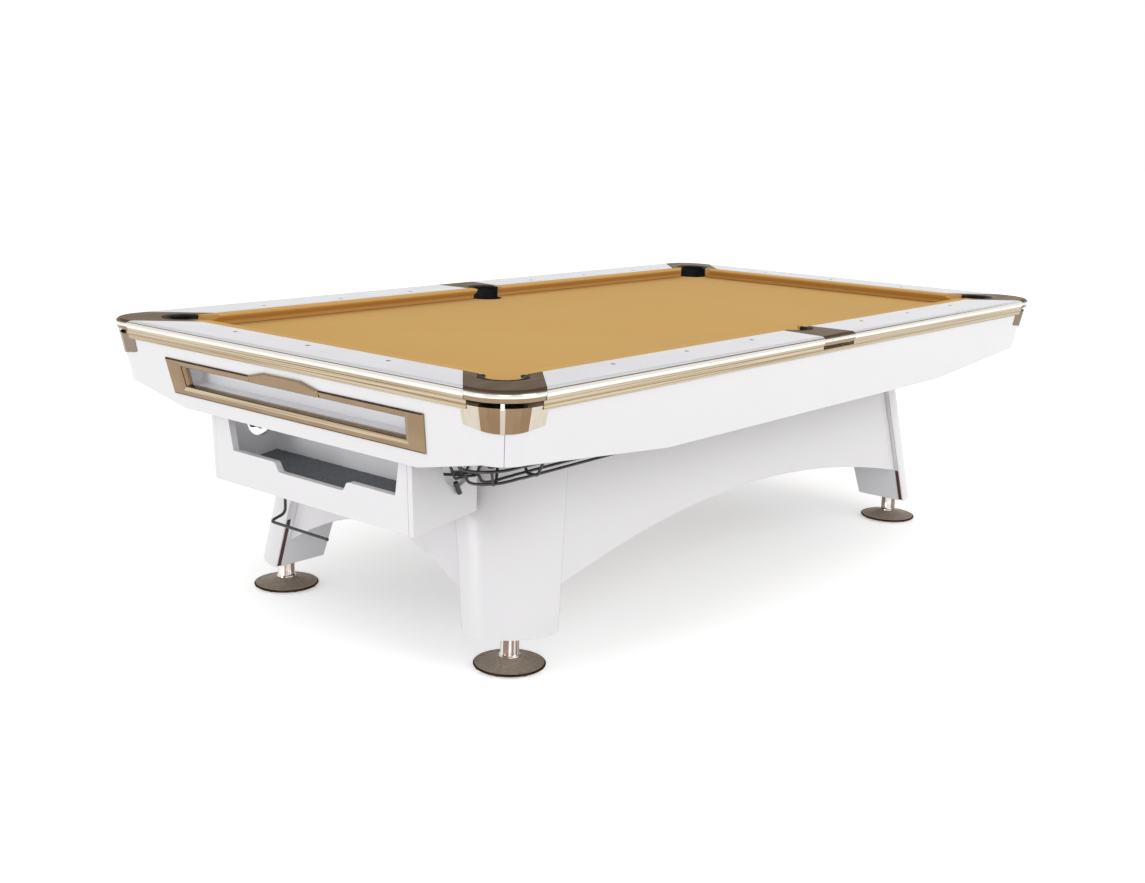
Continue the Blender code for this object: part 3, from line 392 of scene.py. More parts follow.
# Brighter copy of the white lacquer, painted light that lifts the shade inside the ball box and the tray and
# on the leg cores
SHADE_LIFTED_WHITE = Look("shade_lifted_white", (0.905, 0.905, 0.93), 0.4, slot="white_lacquer")
SHADE_LIFTED_WHITE.tint((3.0, 3.0), 0.05, (0.75, 0.75, 0.80))
SHADE_LIFTED_WHITE.rough((8.0, 2.0), 0.36, 0.46)

# Smooth pale laminate with a faint cloudy figure
LAMINATE = Look("rail_laminate", (0.675, 0.670, 0.705), 0.25, Coat_Weight=0.25, Coat_Roughness=0.08)
LAMINATE.tint((4.0, 1.0, (0.5, 1.6, 1)), 0.09, (0.56, 0.56, 0.61), 0.1, 0.9)
LAMINATE.rough((9.0, 2.0), 0.21, 0.265)

# Napped camel-gold billiard cloth
CLOTH = Look("camel_cloth", (0.615, 0.366, 0.114), 0.95, Sheen_Weight=0.10,
             Sheen_Roughness=0.45, Sheen_Tint=(0.90, 0.70, 0.42, 1.0), Specular_IOR_Level=0.15)
CLOTH.tint((2.2, 4.0), 0.07, (0.40, 0.22, 0.06))
CLOTH.tint((700.0, 3.0, (1, 0.45, 1)), 0.22, (0.36, 0.19, 0.05), 0.45, 0.75)
CLOTH.tint((1300.0, 2.0), 0.16, (0.84, 0.60, 0.30), 0.55, 0.8)
CLOTH.bump((520.0, 3.0), 0.0004, 0.5)
CLOTH.bump((1500.0, 2.0, (1, 0.4, 1)), 0.0002, 0.5)

# Bright polished metal, a little warm
CHROME = Look("polished_chrome", (0.83, 0.80, 0.75), 0.1, 1.0)
CHROME.tint((25.0, 3.0, (0.1, 0.1, 1)), 0.15, (0.60, 0.53, 0.44), 0.42, 0.75)
CHROME.rough((180.0, 3.0, (0.1, 0.1, 1)), 0.06, 0.18)

# Polished champagne metal
CHAMPAGNE = Look("champagne_chrome", (0.285, 0.198, 0.118), 0.16, 1.0)
CHAMPAGNE.tint((9.0, 3.0), 0.40, (0.40, 0.295, 0.195), 0.40, 0.70)
CHAMPAGNE.rough((60.0, 2.0), 0.12, 0.22)

# Champagne metal of the corner shields, brushed softly from top to bottom
SHIELD = Look("shield_chrome", (0.245, 0.160, 0.092), 0.20, 1.0, slot="champagne_chrome")
SHIELD.tint((70.0, 2.0, (1, 1, 0.03)), 0.45, (0.33, 0.225, 0.14), 0.42, 0.62)
SHIELD.rough((60.0, 2.0, (1, 1, 0.1)), 0.16, 0.26)

# Satin taupe metal with fine brush lines
PEWTER = Look("brushed_pewter", (0.31, 0.262, 0.212), 0.30, 1.0,
              Specular_Tint=(0.62, 0.54, 0.46, 1.0), slot="taupe_pewter")
PEWTER.tint((420.0, 2.0, (0.04, 1, 1)), 0.30, (0.120, 0.096, 0.074), 0.45, 0.70)
PEWTER.tint((11.0, 3.0), 0.35, (0.27, 0.24, 0.205), 0.45, 0.70)
PEWTER.rough((50.0, 2.0, (0.2, 1, 1)), 0.285, 0.38)

# Taupe metal with a pebbled skin
PEBBLED = Look("pebbled_pewter", (0.385, 0.315, 0.255), 0.55, 0.4,
               Specular_IOR_Level=0.2, slot="taupe_pewter")
PEBBLED.tint((230.0,), 0.55, (0.205, 0.165, 0.130), 0.35, 0.70)
PEBBLED.tint((55.0, 3.0), 0.35, (0.50, 0.42, 0.35), 0.45, 0.70)
PEBBLED.rough((90.0, 2.0), 0.46, 0.64)
PEBBLED.bump((230.0,), -0.0008, 0.6)

# Matt black rubber with a leathery skin
RUBBER = Look("black_rubber", (0.010, 0.010, 0.012), 0.6, Specular_IOR_Level=0.2)
RUBBER.tint((40.0, 3.0), 0.5, (0.030, 0.030, 0.034))
RUBBER.rough((60.0, 3.0), 0.42, 0.70)
RUBBER.bump((420.0,), 0.0005, 0.6)

# Black plastic-coated wire
WIRE = Look("black_wire", (0.012, 0.012, 0.013), 0.35, Coat_Weight=0.2, Coat_Roughness=0.2)
WIRE.tint((90.0, 3.0), 0.6, (0.035, 0.035, 0.038))
WIRE.rough((160.0, 2.0), 0.28, 0.46)

# Grey slate, honed
SLATE = Look("honed_slate", (0.16, 0.17, 0.18), 0.8, slot="slate")
SLATE.tint((18.0, 8.0, (1, 1, 6)), 0.7, (0.08, 0.085, 0.095))
SLATE.rough((50.0, 3.0), 0.70, 0.88)
SLATE.bump((130.0, 4.0, (1, 1, 5)), 0.0006, 0.6)

# Planed timber with grain along the table
TIMBER = Look("frame_timber", (0.50, 0.34, 0.19), 0.65)
TIMBER.tint((34.0, 6.0, (0.06, 1, 1)), 0.7, (0.30, 0.18, 0.085), 0.40, 0.70)
TIMBER.tint((220.0, 3.0, (0.03, 1, 1)), 0.4, (0.24, 0.14, 0.065), 0.5, 0.75)
TIMBER.bump((34.0, 6.0, (0.06, 1, 1)), 0.0004, 0.5)

# Speckled grey carpet of the ball box
CARPET = Look("box_carpet", (0.080, 0.096, 0.116), 0.95, Sheen_Weight=0.2,
              Sheen_Roughness=0.6, slot="camel_cloth")
CARPET.tint((170.0, 3.0), 0.8, (0.17, 0.19, 0.215), 0.48, 0.68)
CARPET.tint((240.0, 2.0), 0.7, (0.014, 0.017, 0.022), 0.50, 0.70)
CARPET.bump((330.0, 3.0), 0.0025, 0.8)

# Dark red-brown of the strips and lines on the leg edges
DARK_RED_STRIP = Look("dark_red_strip", (0.085, 0.026, 0.020), 0.55, slot="frame_timber")
DARK_RED_STRIP.tint((60.0, 4.0, (1, 1, 0.1)), 0.6, (0.030, 0.010, 0.009))
DARK_RED_STRIP.rough((40.0, 3.0), 0.42, 0.65)

# Dark grey pearl of the inlaid sights
PEARL = Look("grey_pearl", (0.035, 0.035, 0.040), 0.45, Specular_IOR_Level=0.2, slot="rail_laminate")
PEARL.tint((300.0, 3.0), 0.5, (0.10, 0.10, 0.115))

# Pale polished metal of the trim lips, with fine tan lines along the rail
LIP = Look("pale_champagne", (0.54, 0.46, 0.335), 0.22, 1.0, slot="champagne_chrome")
LIP.tint((330.0, 1.0, (0.004, 0.004, 1)), 0.85, (0.34, 0.245, 0.14), 0.46, 0.60)
LIP.rough((90.0, 2.0, (0.05, 0.05, 1)), 0.16, 0.26)

# Pale bands of the corner shields: painted reflections on their polished metal
SHIELD_PAINTED_REFLECTION = Look("shield_painted_reflection", (0.58, 0.53, 0.44), 0.2, 1.0, slot="champagne_chrome")
SHIELD_PAINTED_REFLECTION.tint((55.0, 3.0, (1, 1, 0.06)), 0.45, (0.43, 0.37, 0.28), 0.42, 0.62)
SHIELD_PAINTED_REFLECTION.rough((60.0, 2.0, (1, 1, 0.1)), 0.14, 0.26)

# Dark polished bronze of the foot rims, also on the tray frame's bevels as painted reflection and on its
# reveal as painted shade
BRONZE_AND_PAINTED_SHADE = Look("dark_bronze_and_painted_shade", (0.060, 0.040, 0.028), 0.22, 1.0,
              Specular_Tint=(0.5, 0.4, 0.32, 1.0), slot="champagne_chrome")
BRONZE_AND_PAINTED_SHADE.tint((40.0, 3.0), 0.5, (0.16, 0.115, 0.08), 0.45, 0.70)
BRONZE_AND_PAINTED_SHADE.rough((60.0, 2.0), 0.16, 0.265)

# Polished stems with brown stripes from top to bottom, painted reflections
CHROME_PAINTED_REFLECTIONS = Look("chrome_painted_reflections", (0.83, 0.79, 0.74), 0.14, 1.0, slot="polished_chrome")
CHROME_PAINTED_REFLECTIONS.tint((62.0, 1.0, (1, 1, 0.02)), 0.85, (0.175, 0.090, 0.062), 0.47, 0.54)
CHROME_PAINTED_REFLECTIONS.rough((60.0, 2.0, (1, 1, 0.1)), 0.10, 0.20)


# Mesh helpers
@contextlib.contextmanager
def editing(mesh):
    """A mesh opened for edits and written back."""
    work = bmesh.new()
    work.from_mesh(mesh)
    yield work
    work.to_mesh(mesh)
    work.free()


def mesh_from(points, faces):
    """A mesh of points and faces, with its faces turned outward."""
    made = bpy.data.meshes.new("piece")
    made.from_pydata([tuple(point) for point in points], [], faces)
    with editing(made) as work:
        bmesh.ops.remove_doubles(work, verts=work.verts, dist=SAME_POINT)
        bmesh.ops.recalc_face_normals(work, faces=work.faces)
    return made


def lofted(rings, round_trip=False):
    """A skin over rings of equally many points, closed by its end faces or joined end to start."""
    count = len(rings[0])
    points = [point for ring in rings for point in ring]
    faces = []
    last = len(rings) if round_trip else len(rings) - 1
    for level in range(last):
        here, there = level * count, (level + 1) % len(rings) * count
        for index in range(count):
            follow = (index + 1) % count
            faces.append((here + index, here + follow, there + follow, there + index))
    if not round_trip:
        faces.append(tuple(range(count))[::-1])
        faces.append(tuple(range(len(points) - count, len(points))))
    return mesh_from(points, faces)


def turned(profile, centre, sides):
    """A closed turned shape: a profile of (radius, height) run round a vertical axis."""
    rings = []
    for radius, height in profile:
        circle = arc(centre, radius, 0, 360 - 360 / sides, sides - 1)
        rings.append([(x, y, height) for x, y in circle])
    return lofted(rings)


def merged(meshes):
    """Several meshes as one."""
    made = bpy.data.meshes.new("piece")
    with editing(made) as work:
        for mesh in meshes:
            work.from_mesh(mesh)
    return made


def copied(node):
    """A clean copy of a CAD node's mesh: doubles merged and flat faces joined."""
    made = merged([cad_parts[node].data])
    with editing(made) as work:
        bmesh.ops.remove_doubles(work, verts=work.verts, dist=SAME_CORNER)
        bmesh.ops.dissolve_limit(work, angle_limit=math.radians(SAME_FACE), verts=work.verts,
                                 edges=work.edges)
    return made


def arc(centre, radius, start, end, steps):
    """Points along an arc, in degrees."""
    turns = [math.radians(start + (end - start) * index / steps) for index in range(steps + 1)]
    return [(centre[0] + radius * math.cos(turn), centre[1] + radius * math.sin(turn)) for turn in turns]


def on_rail(axis, along, across, height):
    """A point given along and across a rail that runs along an axis."""
    return (along, across, height) if axis == "x" else (across, along, height)


def shifted(profile, outward, height):
    """Points of a profile moved outward and up."""
    return [(outward + x, height + z) for x, z in profile]


def piece(name, mesh, finish, stands_for=None, body="table", edge=0.0, angle=35):
    """A finished piece on a body: its edges softened, shaded smooth with flat faces kept flat."""
    made = bpy.data.objects.new(name, mesh)
    bpy.context.scene.collection.objects.link(made)
    mesh.materials.clear()
    mesh.materials.append(finish.material)
    mesh.shade_smooth()
    if edge:
        bevel = made.modifiers.new("edge", "BEVEL")
        bevel.width = edge
        bevel.segments = 2
        bevel.limit_method = "ANGLE"
        bevel.angle_limit = math.radians(angle)
        bevel.miter_outer = "MITER_ARC"
        bevel.use_clamp_overlap = True
        weighted = made.modifiers.new("normals", "WEIGHTED_NORMAL")
        weighted.keep_sharp = True
    else:
        mesh.set_sharp_from_angle(angle=math.radians(angle))
    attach(made, body)
    if stands_for:
        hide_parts(stands_for)
    return made


def paint(made, finish, wanted):
    """Gives another finish to the faces of a piece for which wanted(face) is true."""
    mesh = made.data
    mesh.materials.append(finish.material)
    index = len(mesh.materials) - 1
    for face in mesh.polygons:
        if wanted(face):
            face.material_index = index


# Bed: the cloth rolls over the slate's edge into each pocket
def bed_outline(shrink):
    """The cloth's outline: a rectangle with a round bite at each pocket, grown by shrink into the slate."""
    reach_x = HALF_LENGTH + CLOTH_REACH
    reach_y = HALF_WIDTH + CLOTH_REACH
    radius = POCKET_RADIUS + shrink
    outline = []
    for name, turn in (("a", 0), ("side_near", 0), ("c", 90), ("d", 180), ("side_far", 180), ("b", 270)):
        spin = Matrix.Rotation(math.radians(turn), 2)
        centre = Vector((POCKETS[name].x, POCKETS[name].y))
        edge_y = reach_y - abs(centre.y)
        edge_x = reach_x - abs(centre.x)
        if name.startswith("side"):
            lean = math.degrees(math.asin(edge_y / radius))
            start, end = 180 + lean, -lean
        else:
            first, second = (edge_x, edge_y) if turn in (0, 180) else (edge_y, edge_x)
            start = 180 - math.degrees(math.acos(first / radius))
            end = -90 + math.degrees(math.acos(second / radius))
        for x, y in arc((0, 0), radius, start, end, steps=20):
            outline.append(centre + spin @ Vector((x, y)))
    return outline


def bed_cloth():
    """The bed cloth as one stretched sheet, its edges rolled over at the pockets."""
    steps = 4
    rings = []
    for index in range(steps + 1):
        turn = math.pi / 2 * index / steps
        outline = bed_outline(CLOTH_CLEAR + CLOTH_ROLL * (1 - math.sin(turn)))
        rings.append([(x, y, BED_TOP - CLOTH_ROLL * (1 - math.cos(turn))) for x, y in outline])
    rings.append([(x, y, SLATE_TOP + CLOTH_LIFT) for x, y in bed_outline(CLOTH_CLEAR)])
    made = piece("bed_cloth_sheet", lofted(rings), CLOTH, "bed_cloth", angle=60)


# Cushions: a rounded nose profile run between the pocket mouths
def cushion_profile():
    """(outward, height) round a cushion: crowned top, round nose, slanted underside, covered rail below."""
    heel = CAP_INNER - CUSHION_GAP
    top = RAIL_TOP - CUSHION_GAP
    foot = BED_TOP + CLOTH_CLEAR
    points = [(heel, foot), (heel, top - HEEL_EASE / 2), (heel - HEEL_EASE, top)]
    for share in (0.25, 0.5, 0.75):
        points.append((heel - (heel - CROWN_END) * share, top + CROWN * math.sin(math.pi * share)))
    points.append((CROWN_END, top - CROWN_FALL))
    points += arc((NOSE_RADIUS, RAIL_TOP - NOSE_DROP), NOSE_RADIUS, *NOSE_ARC)
    return points + shifted(UNDERSIDE, 0, foot)


def mouth_end(outward, axis, corner):
    """Where a cushion ends along its rail at an outward distance, clear of the pocket."""
    along, across, _ = on_rail(axis, *POCKETS["d"])
    end = SIDE_NOSE - SIDE_SLOPE * outward
    if corner:
        end = HALF_ALONG[axis] - CORNER_NOSE + CORNER_SLOPE * outward
    away = HALF_ACROSS[axis] + outward - across
    clear = POCKET_RADIUS + MOUTH_GAP
    if abs(away) < clear:
        chord = math.sqrt(clear ** 2 - away ** 2)
        end = min(end, along - chord) if corner else max(end, chord)
    return end


def cushion_rings(profile, axis, side, sign, corner):
    """Rings of one cushion end from its full section to its rounded tip."""
    middle = [sum(values) / len(profile) for values in zip(*profile)]
    rings = []
    for step in range(CUSHION_STEPS + 1):
        turn = math.pi / 2 * step / CUSHION_STEPS
        back = CUSHION_TIP * (1 - math.sin(turn)) * (-1 if corner else 1)
        shrink = 1 - TIP_SHRINK * (1 - math.cos(turn)) ** 2
        ring = []
        for outward, height in profile:
            along = sign * (mouth_end(outward, axis, corner) + back)
            across = side * (HALF_ACROSS[axis] + middle[0] + (outward - middle[0]) * shrink)
            ring.append(on_rail(axis, along, across, middle[1] + (height - middle[1]) * shrink))
        rings.append(ring)
    return rings


def cushions():
    """Six cloth-covered cushions, their ends rounded over at the pocket mouths."""
    profile = cushion_profile()
    for name in RAILS:
        side = -1 if name.startswith("near") or name == "head" else 1
        if name in ("head", "foot"):
            first, second = (cushion_rings(profile, "y", side, sign, True) for sign in (-1, 1))
        else:
            sign = -1 if name.endswith("head") else 1
            first, second = (cushion_rings(profile, "x", side, sign, corner) for corner in (True, False))
        middle = []
        for share in CUSHION_SHARES:
            middle.append([Vector(a).lerp(Vector(b), share) for a, b in zip(first[0], second[0])])
        mesh = lofted(first[::-1] + middle + second)
        made = piece(f"cushion_{name}_cover", mesh, CLOTH, f"cushion_{name}", angle=60)


# Rails
def rail_caps():
    """Laminate rail tops with softened edges."""
    for name in RAILS:
        node = f"rail_cap_{name}"
        piece(f"{node}_board", copied(node), LAMINATE, node, edge=EDGE)


def sights():
    """Round pearl sights let into the rail tops."""
    places = []
    for side in (-1, 1):
        across, along = side * (HALF_WIDTH + SIGHT_OUT), side * (HALF_LENGTH + SIGHT_OUT)
        places += [(count * SIGHT_SPACING, across) for count in (-3, -2, -1, 1, 2, 3)]
        places += [(along, count * SIGHT_SPACING) for count in (-1, 0, 1)]
    profile = shifted(SIGHT_PROFILE, SIGHT_RADIUS, RAIL_TOP)
    piece("rail_sights", merged([turned(profile, place, sides=24) for place in places]), PEARL)


def side_width(outward):
    """Half width of a side casting at an outward distance."""
    return HIGH["side_cap_near"].x - SIDE_FLARE * (TRIM_OUTER - outward) / (TRIM_OUTER - CAP_INNER)


def swept(profile, axis, side, ends):
    """A moulding along one side: a profile of (outward, height) between two end rules."""
    rings = []
    for end in ends:
        rings.append([on_rail(axis, end(outward), side * (HALF_ACROSS[axis] + outward), height)
                      for outward, height in profile])
    return lofted(rings)


def bullnose():
    """(outward, height) down the metal edge: a half ellipse to its lower quarter, then in to the lip."""
    middle = (RAIL_TOP + BULLNOSE_BOTTOM) / 2
    tall = (RAIL_TOP - BULLNOSE_BOTTOM) / 2
    wide = TRIM_OUTER - CAP_OUTER - TRIM_GAP
    points = []
    for step in range(BULLNOSE_STEPS + 1):
        turn = math.radians(BULLNOSE_TURN * step / BULLNOSE_STEPS)
        points.append((CAP_OUTER + TRIM_GAP + wide * math.sin(turn), middle + tall * math.cos(turn)))
    points.append((LIP_OUT + BULLNOSE_FOOT, BULLNOSE_BOTTOM))
    points.append((CAP_OUTER + TRIM_GAP, BULLNOSE_BOTTOM))
    return points


def trim_bands(made):
    """Laminate over the shoulder of a bullnose, and the lips' paler finish on its lower part as a painted
    reflection.
    """
    middle = (RAIL_TOP + BULLNOSE_BOTTOM) / 2
    shoulder = middle + (RAIL_TOP - BULLNOSE_BOTTOM) / 2 * math.cos(math.radians(SHOULDER_TURN))
    paint(made, LIP, lambda face: face.center.z < middle - BULLNOSE_REFLECTION_DROP)
    paint(made, LAMINATE, lambda face: face.center.z > shoulder)


def corner_rule(half, sign, past=0.0):
    """End rule along a corner casting's 45 degree seam, or running some way past it."""
    seam = HALF_LENGTH + TRIM_OUTER - HIGH["rail_trim_near"].x - past
    return lambda outward: sign * (half + outward - seam)


def side_rule(sign):
    """End rule along a side casting's flared seam."""
    return lambda outward: sign * (side_width(outward) + SEAM_GAP)


def rail_trims():
    """Metal trims: a bright bullnose on each rail over a stepped lip along each side."""
    nose = bullnose()
    back = CAP_OUTER + TRIM_GAP
    ledge = BULLNOSE_BOTTOM - TRIM_GAP
    upper = [(back, ledge)] + shifted(LIP_BROW, LIP_OUT, ledge) + shifted(LIP_CHIN, LIP_OUT, LIP_BOTTOM)
    upper.append((back, LIP_BOTTOM))
    lower = [(back, LIP_BOTTOM)] + shifted(LOWER_LIP_BEAD, LOWER_LIP_OUT, LIP_BOTTOM)
    lower += shifted(LOWER_LIP_CHIN, LOWER_LIP_OUT, TRIM_BOTTOM) + [(back, TRIM_BOTTOM)]
    for side_name, axis, side in (("near", "x", -1), ("far", "x", 1), ("head", "y", -1), ("foot", "y", 1)):
        half = HALF_ALONG[axis]
        whole = (corner_rule(half, -1), corner_rule(half, 1))
        longer = (corner_rule(half, -1, LIP_REACH), corner_rule(half, 1, LIP_REACH))
        runs = [(side_name, whole, longer)]
        if axis == "x":
            runs = [(f"{side_name}_head", (whole[0], side_rule(-1)), (longer[0], side_rule(-1))),
                    (f"{side_name}_foot", (side_rule(1), whole[1]), (side_rule(1), longer[1]))]
        for name, ends, lip_ends in runs:
            trim_bands(piece(f"bullnose_{name}", swept(nose, axis, side, ends), CHROME, angle=50))
            piece(f"upper_lip_{name}", swept(upper, axis, side, lip_ends), LIP)
        mesh = swept(lower, axis, side, longer)
        made = piece(f"lower_lip_{side_name}", mesh, LIP, f"rail_trim_{side_name}")
        paint(made, CHAMPAGNE, lambda face: face.center.z > LIP_BOTTOM - BEAD_TALL)


# Castings and shields
def corner_outline(name, reach, pocket):
    """Corner casting outline at an outward reach, with its round pocket bite."""
    inner = CAP_INNER + SEAM_GAP
    seam = HALF_LENGTH + TRIM_OUTER - HIGH["rail_trim_near"].x - SEAM_GAP
    offset = abs(POCKETS[name].x) - HALF_LENGTH
    bite = math.degrees(math.asin((inner - offset) / pocket))
    round_radius = CORNER_ROUND - (TRIM_OUTER - reach)
    centre = (reach - round_radius, reach - round_radius)
    outline = [(inner - seam, inner)] + arc((offset, offset), pocket, 180 - bite, bite - 90, steps=30)
    outline += [(inner, inner - seam), (reach, reach - seam)] + arc(centre, round_radius, 0, 90, steps=24)
    outline.append((reach - seam, reach))
    side_x, side_y = CORNERS[name]
    return [(side_x * (HALF_LENGTH + x), side_y * (HALF_WIDTH + y)) for x, y in outline]


def side_outline(side, reach, pocket):
    """Side casting outline at an outward reach, with its round pocket bite."""
    inner = CAP_INNER + SEAM_GAP
    offset = abs(POCKETS["side_far"].y) - HALF_WIDTH
    bite = math.degrees(math.asin((inner - offset) / pocket))
    outline = [(-side_width(inner), inner)] + arc((0, offset), pocket, 180 - bite, bite, steps=24)
    outline += [(side_width(inner), inner), (side_width(reach), reach), (-side_width(reach), reach)]
    return [(x, side * (HALF_WIDTH + y)) for x, y in outline]


def casting(node, pocket, outline, key):
    """A brushed casting with a polished outer edge whose lower part is painted tan as a painted reflection;
    its pocket edge drops away for the liner's rim.
    """
    rings = []
    for outward, height in bullnose()[:-1]:
        eased = max(0.0, 1 - (RAIL_TOP - height) / RIM_DROP)
        bite = POCKET_RADIUS + RIM_GAP + RIM_EASE * eased
        rings.append([(x, y, height) for x, y in outline(key, outward, bite)])
    made = piece(f"{node}_casting", lofted(rings), PEWTER, node, angle=50)
    tan_reflection_top = (RAIL_TOP + BULLNOSE_BOTTOM) / 2 - CASTING_REFLECTION_DROP

    def outer(face):
        away = face.center - pocket
        clear = math.hypot(away.x, away.y) > POCKET_RADIUS + 2 * RIM_EASE
        return clear and abs(face.normal.z) < CASTING_SHINE and away.dot(face.normal) > OUTER_FACE

    paint(made, CHROME, outer)
    # The lower part of the polished edge in champagne, a painted reflection
    paint(made, CHAMPAGNE, lambda face: outer(face) and face.center.z < tan_reflection_top)
    for face in made.data.polygons:
        if face.normal.z > FLAT and face.area > TOP_AREA:
            face.use_smooth = False


def castings():
    """Metal castings round the six pockets."""
    for name in CORNERS:
        casting(f"corner_cap_{name}", POCKETS[name], corner_outline, name)
    for name, side in (("near", -1), ("far", 1)):
        casting(f"side_cap_{name}", POCKETS[f"side_{name}"], side_outline, side)


def pocket_rims():
    """Rolled rubber rims let into the castings round the pockets, and the liners below them."""
    for name, centre in POCKETS.items():
        node = f"pocket_liner_{name}"
        piece(f"{node}_tube", copied(node), RUBBER, node, edge=EDGE)
        side_x, side_y = CORNERS.get(name, (0, math.copysign(1, centre.y)))
        facing = math.degrees(math.atan2(side_y, side_x))
        reach = RIM_CORNER_REACH if name in CORNERS else RIM_SIDE_REACH
        rings = []
        for index in range(RIM_STEPS + 1):
            turn = math.radians(facing - reach + 2 * reach * index / RIM_STEPS)
            taper = RIM_TAPER if index in (0, RIM_STEPS) else 1.0
            ring = []
            for x, z in arc((0, 0), 1.0, *RIM_SECTION):
                radius = POCKET_RADIUS - RIM_INSET + RIM_WIDE * taper * x
                height = RAIL_TOP - RIM_TALL - RIM_BELOW + RIM_TALL * taper * z
                ring.append((centre.x + radius * math.cos(turn), centre.y + radius * math.sin(turn), height))
            rings.append(ring)
        piece(f"pocket_rim_{name}", lofted(rings), RUBBER, angle=60)


def shield_point(name, station, cut, height):
    """A point of a corner shield at a station (turn, straight run past it), cut in from its face."""
    turn, run = station
    side_x, side_y = CORNERS[name]
    radius = SHIELD_RADIUS + SHIELD_PROUD - APRON_LEAN * (APRON_TOP - height) - cut
    centre = CAP_OUTER - SHIELD_RADIUS
    x = centre + radius * math.cos(math.radians(turn)) - (run if turn == 90 else 0)
    y = centre + radius * math.sin(math.radians(turn)) - (run if turn == 0 else 0)
    return (side_x * (HALF_LENGTH + x), side_y * (HALF_WIDTH + y), height)


def shields():
    """Polished shields over the apron corners, each with a tab to its casting, in bands of painted
    reflection: pale ends on the near corner's shield, darker pewter ends on the others, and a pale stripe
    near the middle.
    """
    reach = SHIELD_RUN - SHIELD_TUCK
    runs = [SHIELD_RUN, SHIELD_RUN - SHIELD_TUCK / 2, reach + SEAM_GAP]
    runs += [reach * share for share in SHIELD_SHARES]
    stations = [(0, run) for run in runs]
    stations += [(90 * index / SHIELD_STEPS, 0) for index in range(SHIELD_STEPS + 1)]
    stations += [(90, run) for run in runs[::-1]]
    last = len(stations) - 1
    for name in CORNERS:
        node = f"apron_corner_{name}"
        top = HIGH[node].z
        rings = []
        for index, station in enumerate(stations):
            low = LOW[node].z + SHIELD_DIP * abs(2 * index / last - 1) ** SHIELD_CURVE
            high = TRIM_BOTTOM - SEAM_GAP if station[1] > reach else top
            rings.append([shield_point(name, station, cut, height) for cut, height in (
                (0, low), (0, high), (SHIELD_THICK, high), (SHIELD_THICK, low))])
        made = piece(f"shield_{name}", lofted(rings), SHIELD, node, edge=METAL_EDGE, angle=50)
        # Painted reflections: pale ends on the near corner's shield, darker pewter ends on the others
        outer = SHIELD_PAINTED_REFLECTION if name == "a" else PEWTER

        def band(face):
            return face.index // FACES_PER_BAND

        paint(made, outer, lambda face: abs(2 * (band(face) + 0.5) / last - 1) > SHIELD_REFLECTION_ENDS)
        paint(made, SHIELD_PAINTED_REFLECTION, lambda face: band(face) < last
              and REFLECTION_STRIPE_START < stations[band(face)][0] < REFLECTION_STRIPE_END)
        rings = []
        first, second = (TAB_AT - TAB_TURN, 0), (TAB_AT + TAB_TURN, 0)
        for height in (top - TAB_LAP, BULLNOSE_BOTTOM - SEAM_GAP):
            rings.append([shield_point(name, station, cut, height) for station, cut in (
                (first, TAB_ROOT), (second, TAB_ROOT), (second, -TAB_PROUD), (first, -TAB_PROUD))])
        piece(f"shield_tab_{name}", lofted(rings), CHROME, edge=METAL_EDGE)


# Carcass
def in_tray(face):
    """True for the faces inside the accessory tray of the head apron."""
    place, normal = face.center, face.normal
    inside = TRAY_INSIDE_LOW - SHADE_LIFT_REACH < place.z < TRAY_INSIDE_HIGH + SHADE_LIFT_REACH
    leaning = normal.x < -FACING and abs(normal.z) > LEANING
    outward = normal.x > FACING
    return inside and abs(place.y) < TRAY_INSIDE_HALF + SHADE_LIFT_REACH and not leaning and not outward


def boards():
    """Aprons and base panels."""
    for kind in ("apron", "base_panel"):
        for side in ("near", "far", "head", "foot"):
            name = f"{kind}_{side}"
            made = piece(f"{name}_board", copied(name), WHITE, name, edge=BOARD_EDGE)
            if name == "apron_head":
                # The tray's inside faces in the brighter white, painted light lifting their shade
                paint(made, SHADE_LIFTED_WHITE, in_tray)


def leg_section(name):
    """Inner corner, radius and height of a leg's section at its foot and at its top."""
    points = [vertex.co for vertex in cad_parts[f"leg_{name}"].data.vertices]
    levels = []
    for height in (LOW[f"leg_{name}"].z, HIGH[f"leg_{name}"].z):
        ring = [point for point in points if abs(point.z - height) < SAME_LEVEL]
        reach_x = [abs(point.x) for point in ring]
        reach_y = [abs(point.y) for point in ring]
        levels.append(Vector((min(reach_x), min(reach_y), max(reach_x) - min(reach_x), height)))
    return levels


def leg_point(section, corner, radius_cut, turn, lift):
    """A point of a leg: on an arc cut back from the skin, at a turn in radians, lifted along the leg."""
    low, high = section
    x, y, radius, height = low.lerp(high, lift)
    out = radius - radius_cut
    return (corner[0] * (x + out * math.cos(turn)), corner[1] * (y + out * math.sin(turn)), height)


